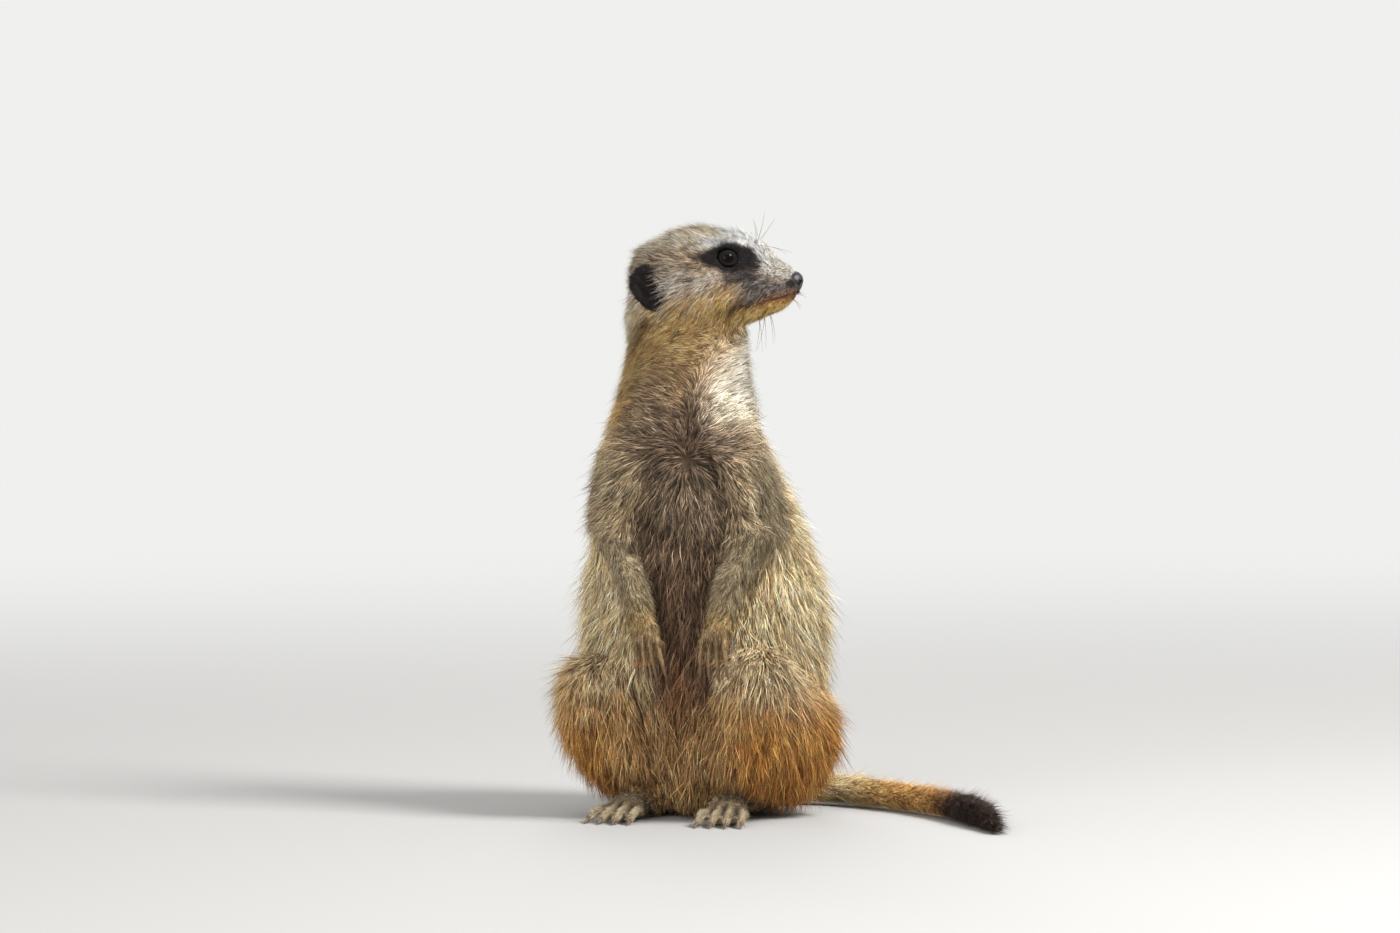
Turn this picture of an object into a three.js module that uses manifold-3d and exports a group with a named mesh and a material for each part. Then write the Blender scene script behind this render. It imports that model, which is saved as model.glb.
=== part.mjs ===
// A meerkat sitting upright on its haunches and looking over its left shoulder, at life size.
//
// Millimetres, +Z up. The chest faces -Y and the animal's left side is +X. The origin is the
// middle of the flat under the rump, and every flat that the animal rests on lies at z = 0.
// The outlines are those of the coat's tips. Each named part is one closed solid, and a thin
// gap parts it from its neighbours.
import * as THREE from "three";
import { mergeVertices } from "three/addons/utils/BufferGeometryUtils.js";
import Module from "manifold-3d";

// ---------------------------------------------------------------- driving dimensions

const GAP = 0.3; // clear space between two parts that meet
const FLOOR = 0; // level of all the resting flats

// A station is [x, y, z, half width, half depth] of one section across a body part.

// Rump, belly, chest and neck, from the seat up to the skull.
const TRUNK = [
  [0, 5, 13, 41, 34],
  [0.5, 5, 32, 47, 40],
  [1.5, 4, 56, 51, 44],
  [1.5, 2, 80, 53.5, 44],
  [0.8, -2, 104, 50, 40.5],
  [-1, -8, 128, 43.2, 36],
  [-2.4, -14, 150, 36, 31.5],
  [-3, -17, 172, 31, 28.5],
  [-2.2, -18, 192, 26.3, 26],
  [-1.6, -18, 209, 25.6, 24.5],
];
const SEAT_REACH = 15; // how far the rump rounds off below its first station
const NECK_REACH = 14; // and the neck above its last one, behind the skull
const WAIST = 116; // height of the cut between belly and chest
const NECK_ROOT = 176; // height of the cut between chest and neck

// The head has its own frame: x runs to the nose, y to its left, and z keeps the body's height.
const HEAD_AT = [5.7, -18, 0];
const HEAD_TURN = THREE.MathUtils.degToRad(16);
// [x, top, bottom, half width, how much narrower the top is than the bottom]
const HEAD = [
  [40.5, 227.0, 217.6, 4.6, 0.1],
  [36, 229.5, 212.6, 6.4, 0.2],
  [32.5, 231.6, 210.6, 7.8, 0.25],
  [29.5, 236.2, 209.3, 9.6, 0.25],
  [26, 240.3, 207.8, 12.2, 0.22],
  [20, 243.2, 205.4, 15.8, 0.18],
  [12, 244.8, 204.0, 19.2, 0.15],
  [3, 246.2, 203.2, 21.8, 0.13],
  [-6, 245.6, 203.0, 22.8, 0.1],
  [-14, 242.8, 203.6, 22, 0.06],
  [-20.5, 239.2, 206.5, 18.8, 0.03],
];
const SNOUT_REACH = 3;
const NAPE_REACH = 8;

const EYE = { x: 11.4, y: 13.2, z: 233, radius: 4.5 };
const BROW = { x: 13.4, y: 9.6, z: 237.6, radii: [11, 5.2, 4] };
const NOSE = { x: 39.9, z: 223.2, radii: [3.9, 4.2, 3.9] };
const NOSTRIL = { x: 42.6, y: 2.5, z: 222.6, radii: [1.7, 1.0, 1.2] };
const EAR = { x: -20.6, y: 18, z: 220.4, radii: [7.3, 4.6, 10.2], wall: 1.5 };
const EAR_LEAN = THREE.MathUtils.degToRad(-20);
const EAR_FLARE = THREE.MathUtils.degToRad(16);
const MOUTH = { front: [43, 219], corner: [13, 212.8], throat: [4, 202] };

// The limbs, as stations from the body outwards.
const UPPER_ARM = {
  right: [[-24, -17, 158, 11, 12], [-29.5, -17, 142, 12, 12.5], [-30.5, -19, 122, 10, 10.5]],
  left: [[22, -18, 158, 10.5, 12], [27.5, -18, 141, 11.5, 12.5], [33, -19, 119, 9.4, 10.5]],
};
const FOREARM = {
  right: [[-29, -22, 122, 9.4, 9.4], [-16, -43, 101, 7.6, 7.4], [-7.6, -51.2, 78.5, 6.4, 5.8]],
  left: [[32.4, -22, 119, 8.8, 9], [26.4, -42, 100, 7.2, 7.4], [24.4, -50.6, 79.5, 6.4, 5.8]],
};
const ELBOW_REACH = 8; // how far the forearm rounds off at the elbow
const FOREARM_END = 2; // and at the wrist, inside the palm
const THIGH = {
  right: [[-31, 6, 33, 25, 29], [-34, -16, 43, 22, 25], [-35, -31, 54, 17.5, 17.5]],
  left: [[34, 6, 33, 25, 30], [35, -16, 45, 22, 25], [35, -30, 59, 17.5, 17.5]],
};
const SHANK = {
  right: [[-35, -31, 49, 16, 15], [-28, -25, 29, 16, 15], [-20.5, -15, 14, 11, 12]],
  left: [[33, -31, 52, 16, 15], [28, -25, 30, 16.5, 15], [21, -16, 14, 11, 12]],
};

// A foot lies along its own -Y from the heel. Its toes fan out and touch the floor.
const FOOT_AT = { right: [-18, -4, 0], left: [19.5, -5, 0] };
const FOOT_SPLAY = {
  right: THREE.MathUtils.degToRad(-7),
  left: THREE.MathUtils.degToRad(9),
};
const METATARSUS = [
  [0, 0, 5.6, 6, 6.4],
  [0, -16, 6.4, 6.8, 6.6],
  [0, -30, 6.2, 7.8, 6.2],
  [0, -39, 5, 8.8, 5],
];
const TOES = 4;
const TOE = { root: -38, length: 13, radius: 2.8, rise: 6.9, drop: 1.8, fan: 0.08 };
const TOE_PITCH = 4.9;
const HIND_CLAW = { length: 5, radius: 1.05, drop: 1.6 };

// A hand hangs from its wrist along its own -Z, with the palm towards the belly at +Y.
const HAND_AT = { right: [-7.2, -51.8, 80.5], left: [24.2, -51.2, 81.5] };
const HAND_TILT = {
  right: [THREE.MathUtils.degToRad(-3), THREE.MathUtils.degToRad(-12), 0],
  left: [THREE.MathUtils.degToRad(-3), THREE.MathUtils.degToRad(9), 0],
};
const PALM = [
  [0, 0, 0, 6.2, 5],
  [0, -0.4, -5, 7, 4.5],
  [0, -0.2, -9.5, 7.4, 3.6],
];
const FINGER = { root: -8.5, length: 8.5, radius: 1.95, curl: 1.2, fan: 0.06 };
const FINGER_PITCH = 3.7;
const FORE_CLAW = { length: 6, radius: 0.95, drop: 2.2 };

const TAIL = [
  [0, 37, 14, 11, 11],
  [18, 49, 9.2, 8.8, 9.2],
  [46, 50, 6.9, 6.6, 7],
  [78, 34, 6.1, 6, 6.3],
  [106, 10, 6.1, 6, 6.3],
  [128, -18, 5, 5, 5.3],
  [139, -38, 2.4, 2, 2.4],
];
const TAIL_CUTS = [0.36, 0.7]; // shares of the tail's length where it is parted
const TAIL_GAP = 0.0015; // the gap between two lengths, as a share of the tail's length

const COLOURS = {
  back: 0xb49a74,
  chest: 0x9c8467,
  face: 0xc9bda8,
  limb: 0xb9a079,
  thigh: 0xa98757,
  paw: 0xc4b08a,
  tail: 0xc08a4c,
  tailTip: 0x3a2c24,
  ear: 0x2a2220,
  nose: 0x3b2a26,
  eye: 0x120e0c,
};

// ---------------------------------------------------------------- solids and shapes

const wasm = await Module();
wasm.setup();

// A closed three.js geometry as a solid that can be joined and cut.
function solidOf(geometry) {
  const bare = geometry.clone();
  bare.deleteAttribute("normal");
  bare.deleteAttribute("uv");
  const merged = mergeVertices(bare, 1e-4);
  return new wasm.Manifold(
    new wasm.Mesh({
      numProp: 3,
      vertProperties: new Float32Array(merged.attributes.position.array),
      triVerts: new Uint32Array(merged.index.array),
    }),
  );
}

// The solid's surface as a three.js geometry.
function geometryOf(solid) {
  const mesh = solid.getMesh();
  return new THREE.BufferGeometry()
    .setAttribute("position", new THREE.BufferAttribute(mesh.vertProperties, 3))
    .setIndex(new THREE.BufferAttribute(mesh.triVerts, 1));
}

const join = (solids) => solids.reduce((all, one) => all.add(one));
const cut = (solid, tools) => tools.reduce((left, tool) => left.subtract(tool), solid);

// The largest piece that is left after a cut, without loose slivers.
function largest(solid) {
  return solid.decompose().reduce((best, piece) => (piece.volume() > best.volume() ? piece : best));
}

const moved = (solid, matrix) => solidOf(geometryOf(solid).applyMatrix4(matrix));

// A box between two corners, for cutting.
function block(low, high) {
  const size = high.map((value, axis) => value - low[axis]);
  const middle = high.map((value, axis) => (value + low[axis]) / 2);
  return solidOf(new THREE.BoxGeometry(...size).translate(...middle));
}

const REACH = 400; // larger than the animal, for blocks that cut all the way through
const above = (z) => block([-REACH, -REACH, z], [REACH, REACH, z + REACH]);
const below = (z) => block([-REACH, -REACH, z - REACH], [REACH, REACH, z]);

// An ellipsoid about the origin.
function ellipsoid(radii, sides = 10, rings = 6) {
  return new THREE.SphereGeometry(1, sides, rings).scale(...radii);
}

// A capsule bent along a smooth path through the stations, with elliptical sections.
// across is the direction of the sections' width. They stand square to the path, or to the
// direction facing if it is given. span is the part of the path that is used. shape may
// reshape a section: it gets the place on the unit circle and the share of the path.
function sweep(stations, options = {}) {
  const { sides = 10, steps = 4, capSteps = 2, grow = 0, span = [0, 1] } = options;
  const { across = [1, 0, 0], facing, reach = [], shape = (a, b) => [a, b] } = options;
  const path = new THREE.CatmullRomCurve3(
    stations.map(([x, y, z]) => new THREE.Vector3(x, y, z)),
  );
  const halves = new THREE.CatmullRomCurve3(
    stations.map((station) => new THREE.Vector3(station[3], station[4], 0)),
  );
  const capsule = new THREE.CapsuleGeometry(1, 1, capSteps, sides, steps);
  const place = capsule.getAttribute("position");
  const wide = new THREE.Vector3(...across);
  const at = new THREE.Vector3();
  for (let i = 0; i < place.count; i += 1) {
    at.fromBufferAttribute(place, i);
    const share = THREE.MathUtils.lerp(...span, THREE.MathUtils.clamp(0.5 + at.y, 0, 1));
    const beyond = at.y - THREE.MathUtils.clamp(at.y, -0.5, 0.5);
    const half = halves.getPoint(share);
    const tangent = facing ? new THREE.Vector3(...facing) : path.getTangent(share);
    const width = wide.clone().addScaledVector(tangent, -wide.dot(tangent)).normalize();
    const depth = new THREE.Vector3().crossVectors(tangent, width);
    const end = reach[beyond > 0 ? 1 : 0] ?? Math.min(half.x, half.y);
    const [a, b] = shape(at.x, -at.z, share);
    const point = path
      .getPoint(share)
      .addScaledVector(tangent, beyond * (end + grow))
      .addScaledVector(width, a * (half.x + grow))
      .addScaledVector(depth, b * (half.y + grow));
    place.setXYZ(i, point.x, point.y, point.z);
  }
  return solidOf(capsule);
}

const MIRROR = { left: 1, right: -1 };
const SIDES = ["left", "right"];

// ---------------------------------------------------------------- head

// The head's outline, with top and bottom lines of their own.
function headForm(grow = 0) {
  const stations = HEAD.map(([x, top, bottom, half]) => [
    x, 0, (top + bottom) / 2, half, (top - bottom) / 2,
  ]).reverse();
  const pinches = new THREE.CatmullRomCurve3(
    HEAD.map((row) => new THREE.Vector3(row[4], 0, 0)).reverse(),
  );
  const skull = sweep(stations, {
    sides: 16,
    steps: 13,
    capSteps: 3,
    grow,
    across: [0, 1, 0],
    facing: [1, 0, 0],
    reach: [NAPE_REACH, SNOUT_REACH],
    shape: (a, b, share) => [a * (1 - pinches.getPoint(share).x * b), b],
  });
  const brows = SIDES.map((side) =>
    solidOf(
      ellipsoid(BROW.radii.map((radius) => radius + grow), 10, 6)
        .rotateZ(-0.42 * MIRROR[side])
        .translate(BROW.x, BROW.y * MIRROR[side], BROW.z),
    ),
  );
  return join([skull, ...brows]);
}

function eyeball(side, grow = 0) {
  const ball = new THREE.SphereGeometry(EYE.radius + grow, 10, 8);
  return solidOf(ball.translate(EYE.x, EYE.y * MIRROR[side], EYE.z));
}

function nosePad(grow = 0) {
  const pad = solidOf(
    ellipsoid(NOSE.radii.map((radius) => radius + grow), 12, 8).translate(NOSE.x, 0, NOSE.z),
  );
  if (grow) return pad;
  const nostrils = SIDES.map((side) =>
    solidOf(
      ellipsoid(NOSTRIL.radii, 7, 4).translate(NOSTRIL.x, NOSTRIL.y * MIRROR[side], NOSTRIL.z),
    ),
  );
  return cut(pad, nostrils);
}

// A low cupped flap, hollow on its outer face.
function earFlap(side, grow = 0) {
  const mirror = MIRROR[side];
  const place = (geometry) =>
    geometry
      .rotateY(EAR_LEAN)
      .rotateZ(EAR_FLARE * mirror)
      .translate(EAR.x, EAR.y * mirror, EAR.z);
  const [long, deep, tall] = EAR.radii;
  const flap = solidOf(place(ellipsoid(EAR.radii.map((radius) => radius + grow), 12, 7)));
  if (grow) return flap;
  const inner = ellipsoid([long - EAR.wall, deep, tall - EAR.wall], 10, 7);
  return cut(flap, [solidOf(place(inner.translate(0.6, (deep - 1.1) * mirror, 0)))]);
}

// A wedge under the line of the lips, in front of the jaw's corner.
function underLips(gap) {
  const [[noseX, noseZ], [cornerX, cornerZ]] = [MOUTH.front, MOUTH.corner];
  const [throatX, throatZ] = MOUTH.throat;
  const slope = (noseZ - cornerZ) / (noseX - cornerX);
  const outline = new THREE.Shape()
    .moveTo(cornerX + gap, cornerZ - gap)
    .lineTo(noseX + 12, noseZ + 12 * slope - gap)
    .lineTo(noseX + 12, throatZ - 12)
    .lineTo(throatX - 8 + gap, throatZ - 12)
    .lineTo(throatX + gap, throatZ);
  const wedge = new THREE.ExtrudeGeometry(outline, { depth: 80, bevelEnabled: false, steps: 1 });
  return solidOf(wedge.translate(0, 0, -40).rotateX(Math.PI / 2));
}

// ---------------------------------------------------------------- paws

// One claw: a cone that bends down from the tip of a digit along -Y.
function claw({ length, radius, drop }, tip) {
  const [x, y, z] = tip;
  return sweep(
    [
      [x, y + 2, z, radius, radius],
      [x, y - length * 0.45, z - drop * 0.25, radius * 0.8, radius * 0.85],
      [x, y - length, z - drop, 0.3, 0.35],
    ],
    { sides: 4, steps: 2, capSteps: 1 },
  );
}

// How far a digit stands from the paw's middle line, for digit 0 to count - 1.
const fromMiddle = (digit, count) => digit - (count - 1) / 2;

const HEEL_REACH = 6.5;
const BALL_REACH = 5;
const instep = (grow = 0) => sweep(METATARSUS, { grow, reach: [HEEL_REACH, BALL_REACH] });

// A hind foot with its heel at the origin. Its toes and claws spread from the instep.
function foot() {
  const pieces = [instep()];
  for (let digit = 0; digit < TOES; digit += 1) {
    const out = fromMiddle(digit, TOES);
    const x = out * TOE_PITCH;
    const start = TOE.root + Math.abs(out) * 1.6;
    const turn = new THREE.Matrix4()
      .makeTranslation(x, start, 0)
      .multiply(new THREE.Matrix4().makeRotationZ(out * TOE.fan));
    const toe = sweep(
      [
        [0, 4, TOE.rise - 1.5, TOE.radius, TOE.radius],
        [0, -TOE.length * 0.45, TOE.rise - 1.4, TOE.radius * 1.05, TOE.radius * 1.1],
        [0, -TOE.length + TOE.radius, TOE.drop + 0.2, TOE.radius * 0.95, TOE.radius],
      ],
      { sides: 6, steps: 3, capSteps: 1 },
    );
    const nail = claw(HIND_CLAW, [0, -TOE.length, TOE.drop + 0.6]);
    pieces.push(moved(toe, turn), moved(nail, turn));
  }
  return join(pieces);
}

const WRIST_REACH = 4;
const KNUCKLE_REACH = 3;
const palm = (grow = 0) => sweep(PALM, { steps: 3, grow, reach: [WRIST_REACH, KNUCKLE_REACH] });

// A hand that hangs from its wrist at the origin, with four long claws.
function hand() {
  const pieces = [palm()];
  const hang = new THREE.Matrix4().makeRotationX(Math.PI / 2);
  for (let digit = 0; digit < TOES; digit += 1) {
    const out = fromMiddle(digit, TOES);
    const start = FINGER.root + Math.abs(out) * 1.1;
    const turn = new THREE.Matrix4()
      .makeTranslation(out * FINGER_PITCH, 0, start)
      .multiply(new THREE.Matrix4().makeRotationY(-out * FINGER.fan))
      .multiply(hang);
    const finger = sweep(
      [
        [0, 3, 0, FINGER.radius, FINGER.radius],
        [0, -FINGER.length * 0.5, FINGER.curl, FINGER.radius, FINGER.radius],
        [0, -FINGER.length + FINGER.radius, 0, FINGER.radius * 0.85, FINGER.radius * 0.9],
      ],
      { sides: 6, steps: 3, capSteps: 1 },
    );
    const nail = claw(FORE_CLAW, [0, -FINGER.length + 0.6, 0.2]);
    pieces.push(moved(finger, turn), moved(nail, turn));
  }
  return join(pieces);
}

// The paw's place on the body, as a matrix.
function placing(at, [turnX, turnY, turnZ]) {
  const turned = new THREE.Quaternion().setFromEuler(new THREE.Euler(turnX, turnY, turnZ));
  return new THREE.Matrix4().compose(
    new THREE.Vector3(...at),
    turned,
    new THREE.Vector3(1, 1, 1),
  );
}

const handPlace = (side) => placing(HAND_AT[side], HAND_TILT[side]);
const footPlace = (side) => placing(FOOT_AT[side], [0, 0, FOOT_SPLAY[side]]);

// ---------------------------------------------------------------- trunk, limbs and tail

const trunk = (grow = 0) =>
  sweep(TRUNK, { grow, sides: 20, steps: 14, capSteps: 3, reach: [SEAT_REACH, NECK_REACH] });

const upperArm = (side, grow = 0) => sweep(UPPER_ARM[side], { grow });
const forearm = (side, grow = 0) =>
  sweep(FOREARM[side], { grow, reach: [ELBOW_REACH, FOREARM_END] });
const thigh = (side, grow = 0) => sweep(THIGH[side], { grow, sides: 12, capSteps: 3 });
const shank = (side, grow = 0) => sweep(SHANK[side], { grow });

// The tail between two shares of its length. It rounds off at its own ends only.
function tailLength(from = 0, to = 1, grow = 0) {
  const reach = [from > 0 ? 0 : undefined, to < 1 ? 0 : undefined];
  const steps = Math.ceil(20 * (to - from));
  return sweep(TAIL, { sides: 8, steps, across: [0.6, 0.8, 0], span: [from, to], reach, grow });
}

// ---------------------------------------------------------------- the whole animal

const material = (colour, roughness = 0.9) =>
  new THREE.MeshStandardMaterial({ color: colour, roughness, metalness: 0 });

// A named mesh of the solid.
function part(name, solid, colour, roughness) {
  const mesh = new THREE.Mesh(geometryOf(solid), material(colour, roughness));
  mesh.name = name;
  return mesh;
}

const floor = above(FLOOR);
const grounded = (solid) => largest(solid.intersect(floor));

function headGroup() {
  const group = new THREE.Group();
  group.position.set(...HEAD_AT);
  group.rotation.z = HEAD_TURN;
  const hollows = [
    ...SIDES.map((side) => eyeball(side, GAP)),
    ...SIDES.map((side) => earFlap(side, GAP)),
    nosePad(GAP),
  ];
  const skull = cut(headForm(), hollows);
  const jawSpace = underLips(0);
  group.add(
    part("head", largest(skull.subtract(jawSpace)), COLOURS.face),
    part("lower_jaw", largest(skull.intersect(underLips(2 * GAP))), COLOURS.face),
    part("nose", nosePad(), COLOURS.nose, 0.5),
  );
  SIDES.forEach((side) => {
    group.add(
      part(`ear_${side}`, earFlap(side), COLOURS.ear),
      part(`eye_${side}`, eyeball(side), COLOURS.eye, 0.15),
    );
  });
  return group;
}

function trunkMeshes() {
  const headMatrix = placing(HEAD_AT, [0, 0, HEAD_TURN]);
  const head = moved(join([headForm(GAP), ...SIDES.map((side) => earFlap(side, GAP))]), headMatrix);
  const heels = SIDES.map((side) => moved(instep(GAP), footPlace(side)));
  const body = cut(trunk().intersect(floor), [head, ...heels]);
  const band = (low, high) => largest(body.intersect(above(low)).intersect(below(high)));
  return [
    part("belly", band(FLOOR, WAIST - GAP / 2), COLOURS.back),
    part("chest", band(WAIST + GAP / 2, NECK_ROOT - GAP / 2), COLOURS.chest),
    part("neck", band(NECK_ROOT + GAP / 2, REACH - 1), COLOURS.back),
  ];
}

// One arm. Each length gives way to the trunk and to the length below it.
function armMeshes(side, body) {
  const wrist = moved(palm(GAP), handPlace(side));
  const upper = cut(upperArm(side), [body, forearm(side, GAP)]);
  const lower = cut(forearm(side), [body, wrist]);
  const paw = part(`hand_${side}`, hand(), COLOURS.paw);
  paw.position.set(...HAND_AT[side]);
  paw.rotation.set(...HAND_TILT[side]);
  return [
    part(`upper_arm_${side}`, largest(upper), COLOURS.limb),
    part(`forearm_${side}`, largest(lower), COLOURS.limb),
    paw,
  ];
}

// One leg, folded under the body. The foot keeps its whole shape.
function legMeshes(side, body) {
  const heel = moved(instep(GAP), footPlace(side));
  const upper = cut(grounded(thigh(side)), [body, shank(side, GAP), heel]);
  const lower = cut(grounded(shank(side)), [body, heel]);
  const paw = part(`foot_${side}`, grounded(foot()), COLOURS.paw);
  paw.position.set(...FOOT_AT[side]);
  paw.rotation.z = FOOT_SPLAY[side];
  return [
    part(`thigh_${side}`, largest(upper), COLOURS.thigh),
    part(`shank_${side}`, largest(lower), COLOURS.thigh),
    paw,
  ];
}

function tailMeshes(body) {
  const [first, second] = TAIL_CUTS;
  const lengths = [
    ["tail_base", 0, first, COLOURS.tail],
    ["tail_middle", first + TAIL_GAP, second, COLOURS.tail],
    ["tail_tip", second + TAIL_GAP, 1, COLOURS.tailTip],
  ];
  return lengths.map(([name, from, to, colour]) =>
    part(name, largest(cut(grounded(tailLength(from, to)), [body])), colour),
  );
}

const body = trunk(GAP);
const meerkat = new THREE.Group();
meerkat.add(headGroup(), ...trunkMeshes(), ...tailMeshes(body));
SIDES.forEach((side) => meerkat.add(...armMeshes(side, body), ...legMeshes(side, body)));

export default meerkat;
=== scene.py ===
"""A meerkat sitting upright on its haunches: skin, coat, eyes, ears, nose, claws and whiskers.

The CAD solids reach to the tips of the coat. One skin is drawn over them and moved in by the
depth of the coat. Tufts grow from it along the lie of the fur, so that they end at the solids.
"""

import math
from collections import namedtuple

import bmesh
import bpy
import numpy as np
from bpy.props import FloatProperty, FloatVectorProperty, PointerProperty
from bpy.types import Operator, Panel, PropertyGroup
from mathutils import Matrix, Vector
from mathutils.bvhtree import BVHTree
from mathutils.kdtree import KDTree


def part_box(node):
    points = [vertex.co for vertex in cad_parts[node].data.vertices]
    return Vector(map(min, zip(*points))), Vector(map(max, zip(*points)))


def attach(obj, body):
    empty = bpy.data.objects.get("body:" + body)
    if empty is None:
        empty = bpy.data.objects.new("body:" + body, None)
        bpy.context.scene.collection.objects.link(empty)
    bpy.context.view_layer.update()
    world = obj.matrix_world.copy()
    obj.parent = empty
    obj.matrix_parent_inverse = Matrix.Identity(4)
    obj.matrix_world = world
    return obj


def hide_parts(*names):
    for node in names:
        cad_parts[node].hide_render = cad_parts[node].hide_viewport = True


bl_info = {
    "name": "Sitting Meerkat",
    "version": (1, 0, 0),
    "blender": (4, 5, 0),
    "location": "3D View > Sidebar > Meerkat",
    "description": "Builds the skin, coat, eyes, claws and whiskers of a sitting meerkat",
    "category": "Mesh",
}

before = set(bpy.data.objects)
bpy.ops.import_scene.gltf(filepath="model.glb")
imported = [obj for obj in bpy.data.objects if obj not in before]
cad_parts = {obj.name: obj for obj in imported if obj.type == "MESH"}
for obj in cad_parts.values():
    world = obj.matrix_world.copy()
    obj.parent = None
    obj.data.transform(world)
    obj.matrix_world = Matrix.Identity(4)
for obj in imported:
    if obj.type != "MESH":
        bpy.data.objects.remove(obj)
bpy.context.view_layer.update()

# ---------------------------------------------------------------- sizes

MM = 0.001
SIDES = {"left": 1, "right": -1}
SEED = 11
GROUND = 0.25 * MM  # the lowest that skin and coat may reach

TRUNK = ("neck", "chest", "belly")
HEAD = ("head", "lower_jaw")
ARMS = tuple(f"{part}_{side}" for part in ("upper_arm", "forearm") for side in SIDES)
LEGS = tuple(f"{part}_{side}" for part in ("thigh", "shank") for side in SIDES)
HANDS = tuple(f"hand_{side}" for side in SIDES)
FEET = tuple(f"foot_{side}" for side in SIDES)
TAIL = ("tail_base", "tail_middle", "tail_tip")
FLESH = TRUNK + HEAD + ARMS + LEGS + HANDS + FEET + TAIL
LOWER_ARMS = tuple(f"forearm_{side}" for side in SIDES) + HANDS

# Which way the animal's front line faces at each height, in degrees from -Y towards +X.
FRONT_LINE = (
    (0, 2),
    (96, 4),
    (114, 4),
    (134, 6),
    (150, 10),
    (167, 17),
    (183, 29),
    (194, 47),
    (206, 75),
    (220, 106),
)
WHORL_HEIGHT = 150  # where the fur of the throat meets the fur of the chest
# Half the width of the breast between the arms at each height, in degrees round the trunk.
BREAST = ((96, 22), (114, 27), (134, 30), (148, 19), (158, 5))
BAND_SPACING = 15.0  # millimetres from one dark band of the back to the next

# Head measures stand from the middle between the eyes: ahead, left and up, in millimetres.
MOUTH_FRONT = (31.6, -14.0)
MOUTH_CORNER = (1.6, -19.2)

# The fingers or toes of one paw, in the paw's own frame and in millimetres. pads are the balls of
# its palm or instep: place, half width and half height. The digits stand pitch apart, fan out, start
# root ahead and rise above the paw's middle, and end at the height drop. deep thickens them at their
# roots. Grooves part them on the paw's upper side, and their hair is shorter from short_from on.
Digits = namedtuple(
    "Digits",
    "pads count pitch fan length radius bulge deep root rise drop claw claw_radius claw_drop "
    "groove_start groove_width groove_depth groove_low groove_high short_from shorter",
)
FINGERS = Digits(
    pads=((0, 1, 0, 5.2, 4.4), (0, -3, 0.2, 5.6, 3.9), (0, -6.5, 0.3, 5.9, 3.1), (0, -8.5, 0.2, 5.7, 2.2)),
    count=4,
    pitch=3.2,
    fan=0.05,
    length=11.0,
    radius=1.35,
    bulge=1.2,
    deep=0.6,
    root=8.0,
    rise=0.3,
    drop=-0.6,
    claw=7.8,
    claw_radius=0.9,
    claw_drop=2.0,
    groove_start=3.5,
    groove_width=0.24,
    groove_depth=1.0,
    groove_low=-0.5,
    groove_high=1.0,
    short_from=6,
    shorter=0.55,
)
TOES = Digits(
    pads=(
        (0, 0, 5.2, 5.4, 5.6),
        (0, -8, 5.4, 5.6, 5.6),
        (0, -16, 5.6, 6.0, 5.6),
        (0, -23, 6.0, 6.8, 6.0),
        (0, -29, 5.7, 7.8, 5.7),
        (0, -35, 4.8, 8.6, 4.8),
        (0, -38, 4.0, 8.6, 3.8),
    ),
    count=4,
    pitch=5.0,
    fan=0.08,
    length=13.5,
    radius=2.45,
    bulge=1.8,
    deep=0.0,
    root=37.5,
    rise=4.4,
    drop=2.2,
    claw=6.0,
    claw_radius=1.0,
    claw_drop=1.8,
    groove_start=3.0,
    groove_width=0.3,
    groove_depth=1.4,
    groove_low=3.0,
    groove_high=5.0,
    short_from=32,
    shorter=0.35,
)

# One part's coat: length and width of a tuft, tufts for each square millimetre, how steeply they
# stand, how deep the skin lies, how far that skin is smoothed, and the colour it starts from.
# Millimetres and degrees.
Coat = namedtuple("Coat", "length width density lift depth smoothing tint")
COATS = {
    "head": Coat(4.4, 0.54, 7.5, 20, 1.3, 0.12, "crown"),
    "lower_jaw": Coat(3.6, 0.48, 8.0, 20, 1.0, 0.1, "jaw"),
    "neck": Coat(6.8, 0.46, 5.6, 23, 2.8, 0.5, "throat"),
    "chest": Coat(8.5, 0.52, 2.8, 24, 3.4, 0.5, "chest"),
    "belly": Coat(12.0, 0.58, 1.9, 25, 4.2, 0.5, "flank"),
    "upper_arm": Coat(6.0, 0.44, 5.6, 22, 2.4, 0.25, "upper_arm"),
    "forearm": Coat(4.0, 0.4, 7.0, 19, 1.4, 0.14, "forearm"),
    "hand": Coat(2.6, 0.34, 8.0, 15, 0.3, 0.03, "hand"),
    "thigh": Coat(11.0, 0.52, 2.9, 24, 3.6, 0.42, "thigh"),
    "shank": Coat(9.5, 0.5, 3.1, 23, 3.2, 0.3, "thigh"),
    "foot": Coat(2.5, 0.38, 8.0, 14, 0.45, 0.05, "foot"),
    "tail_base": Coat(8.0, 0.46, 4.4, 21, 2.2, 0.2, "tail_root"),
    "tail_middle": Coat(6.0, 0.42, 5.4, 20, 1.8, 0.1, "tail_root"),
    "tail_tip": Coat(8.0, 0.44, 5.4, 22, 1.8, 0.06, "tail_tip"),
}
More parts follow.
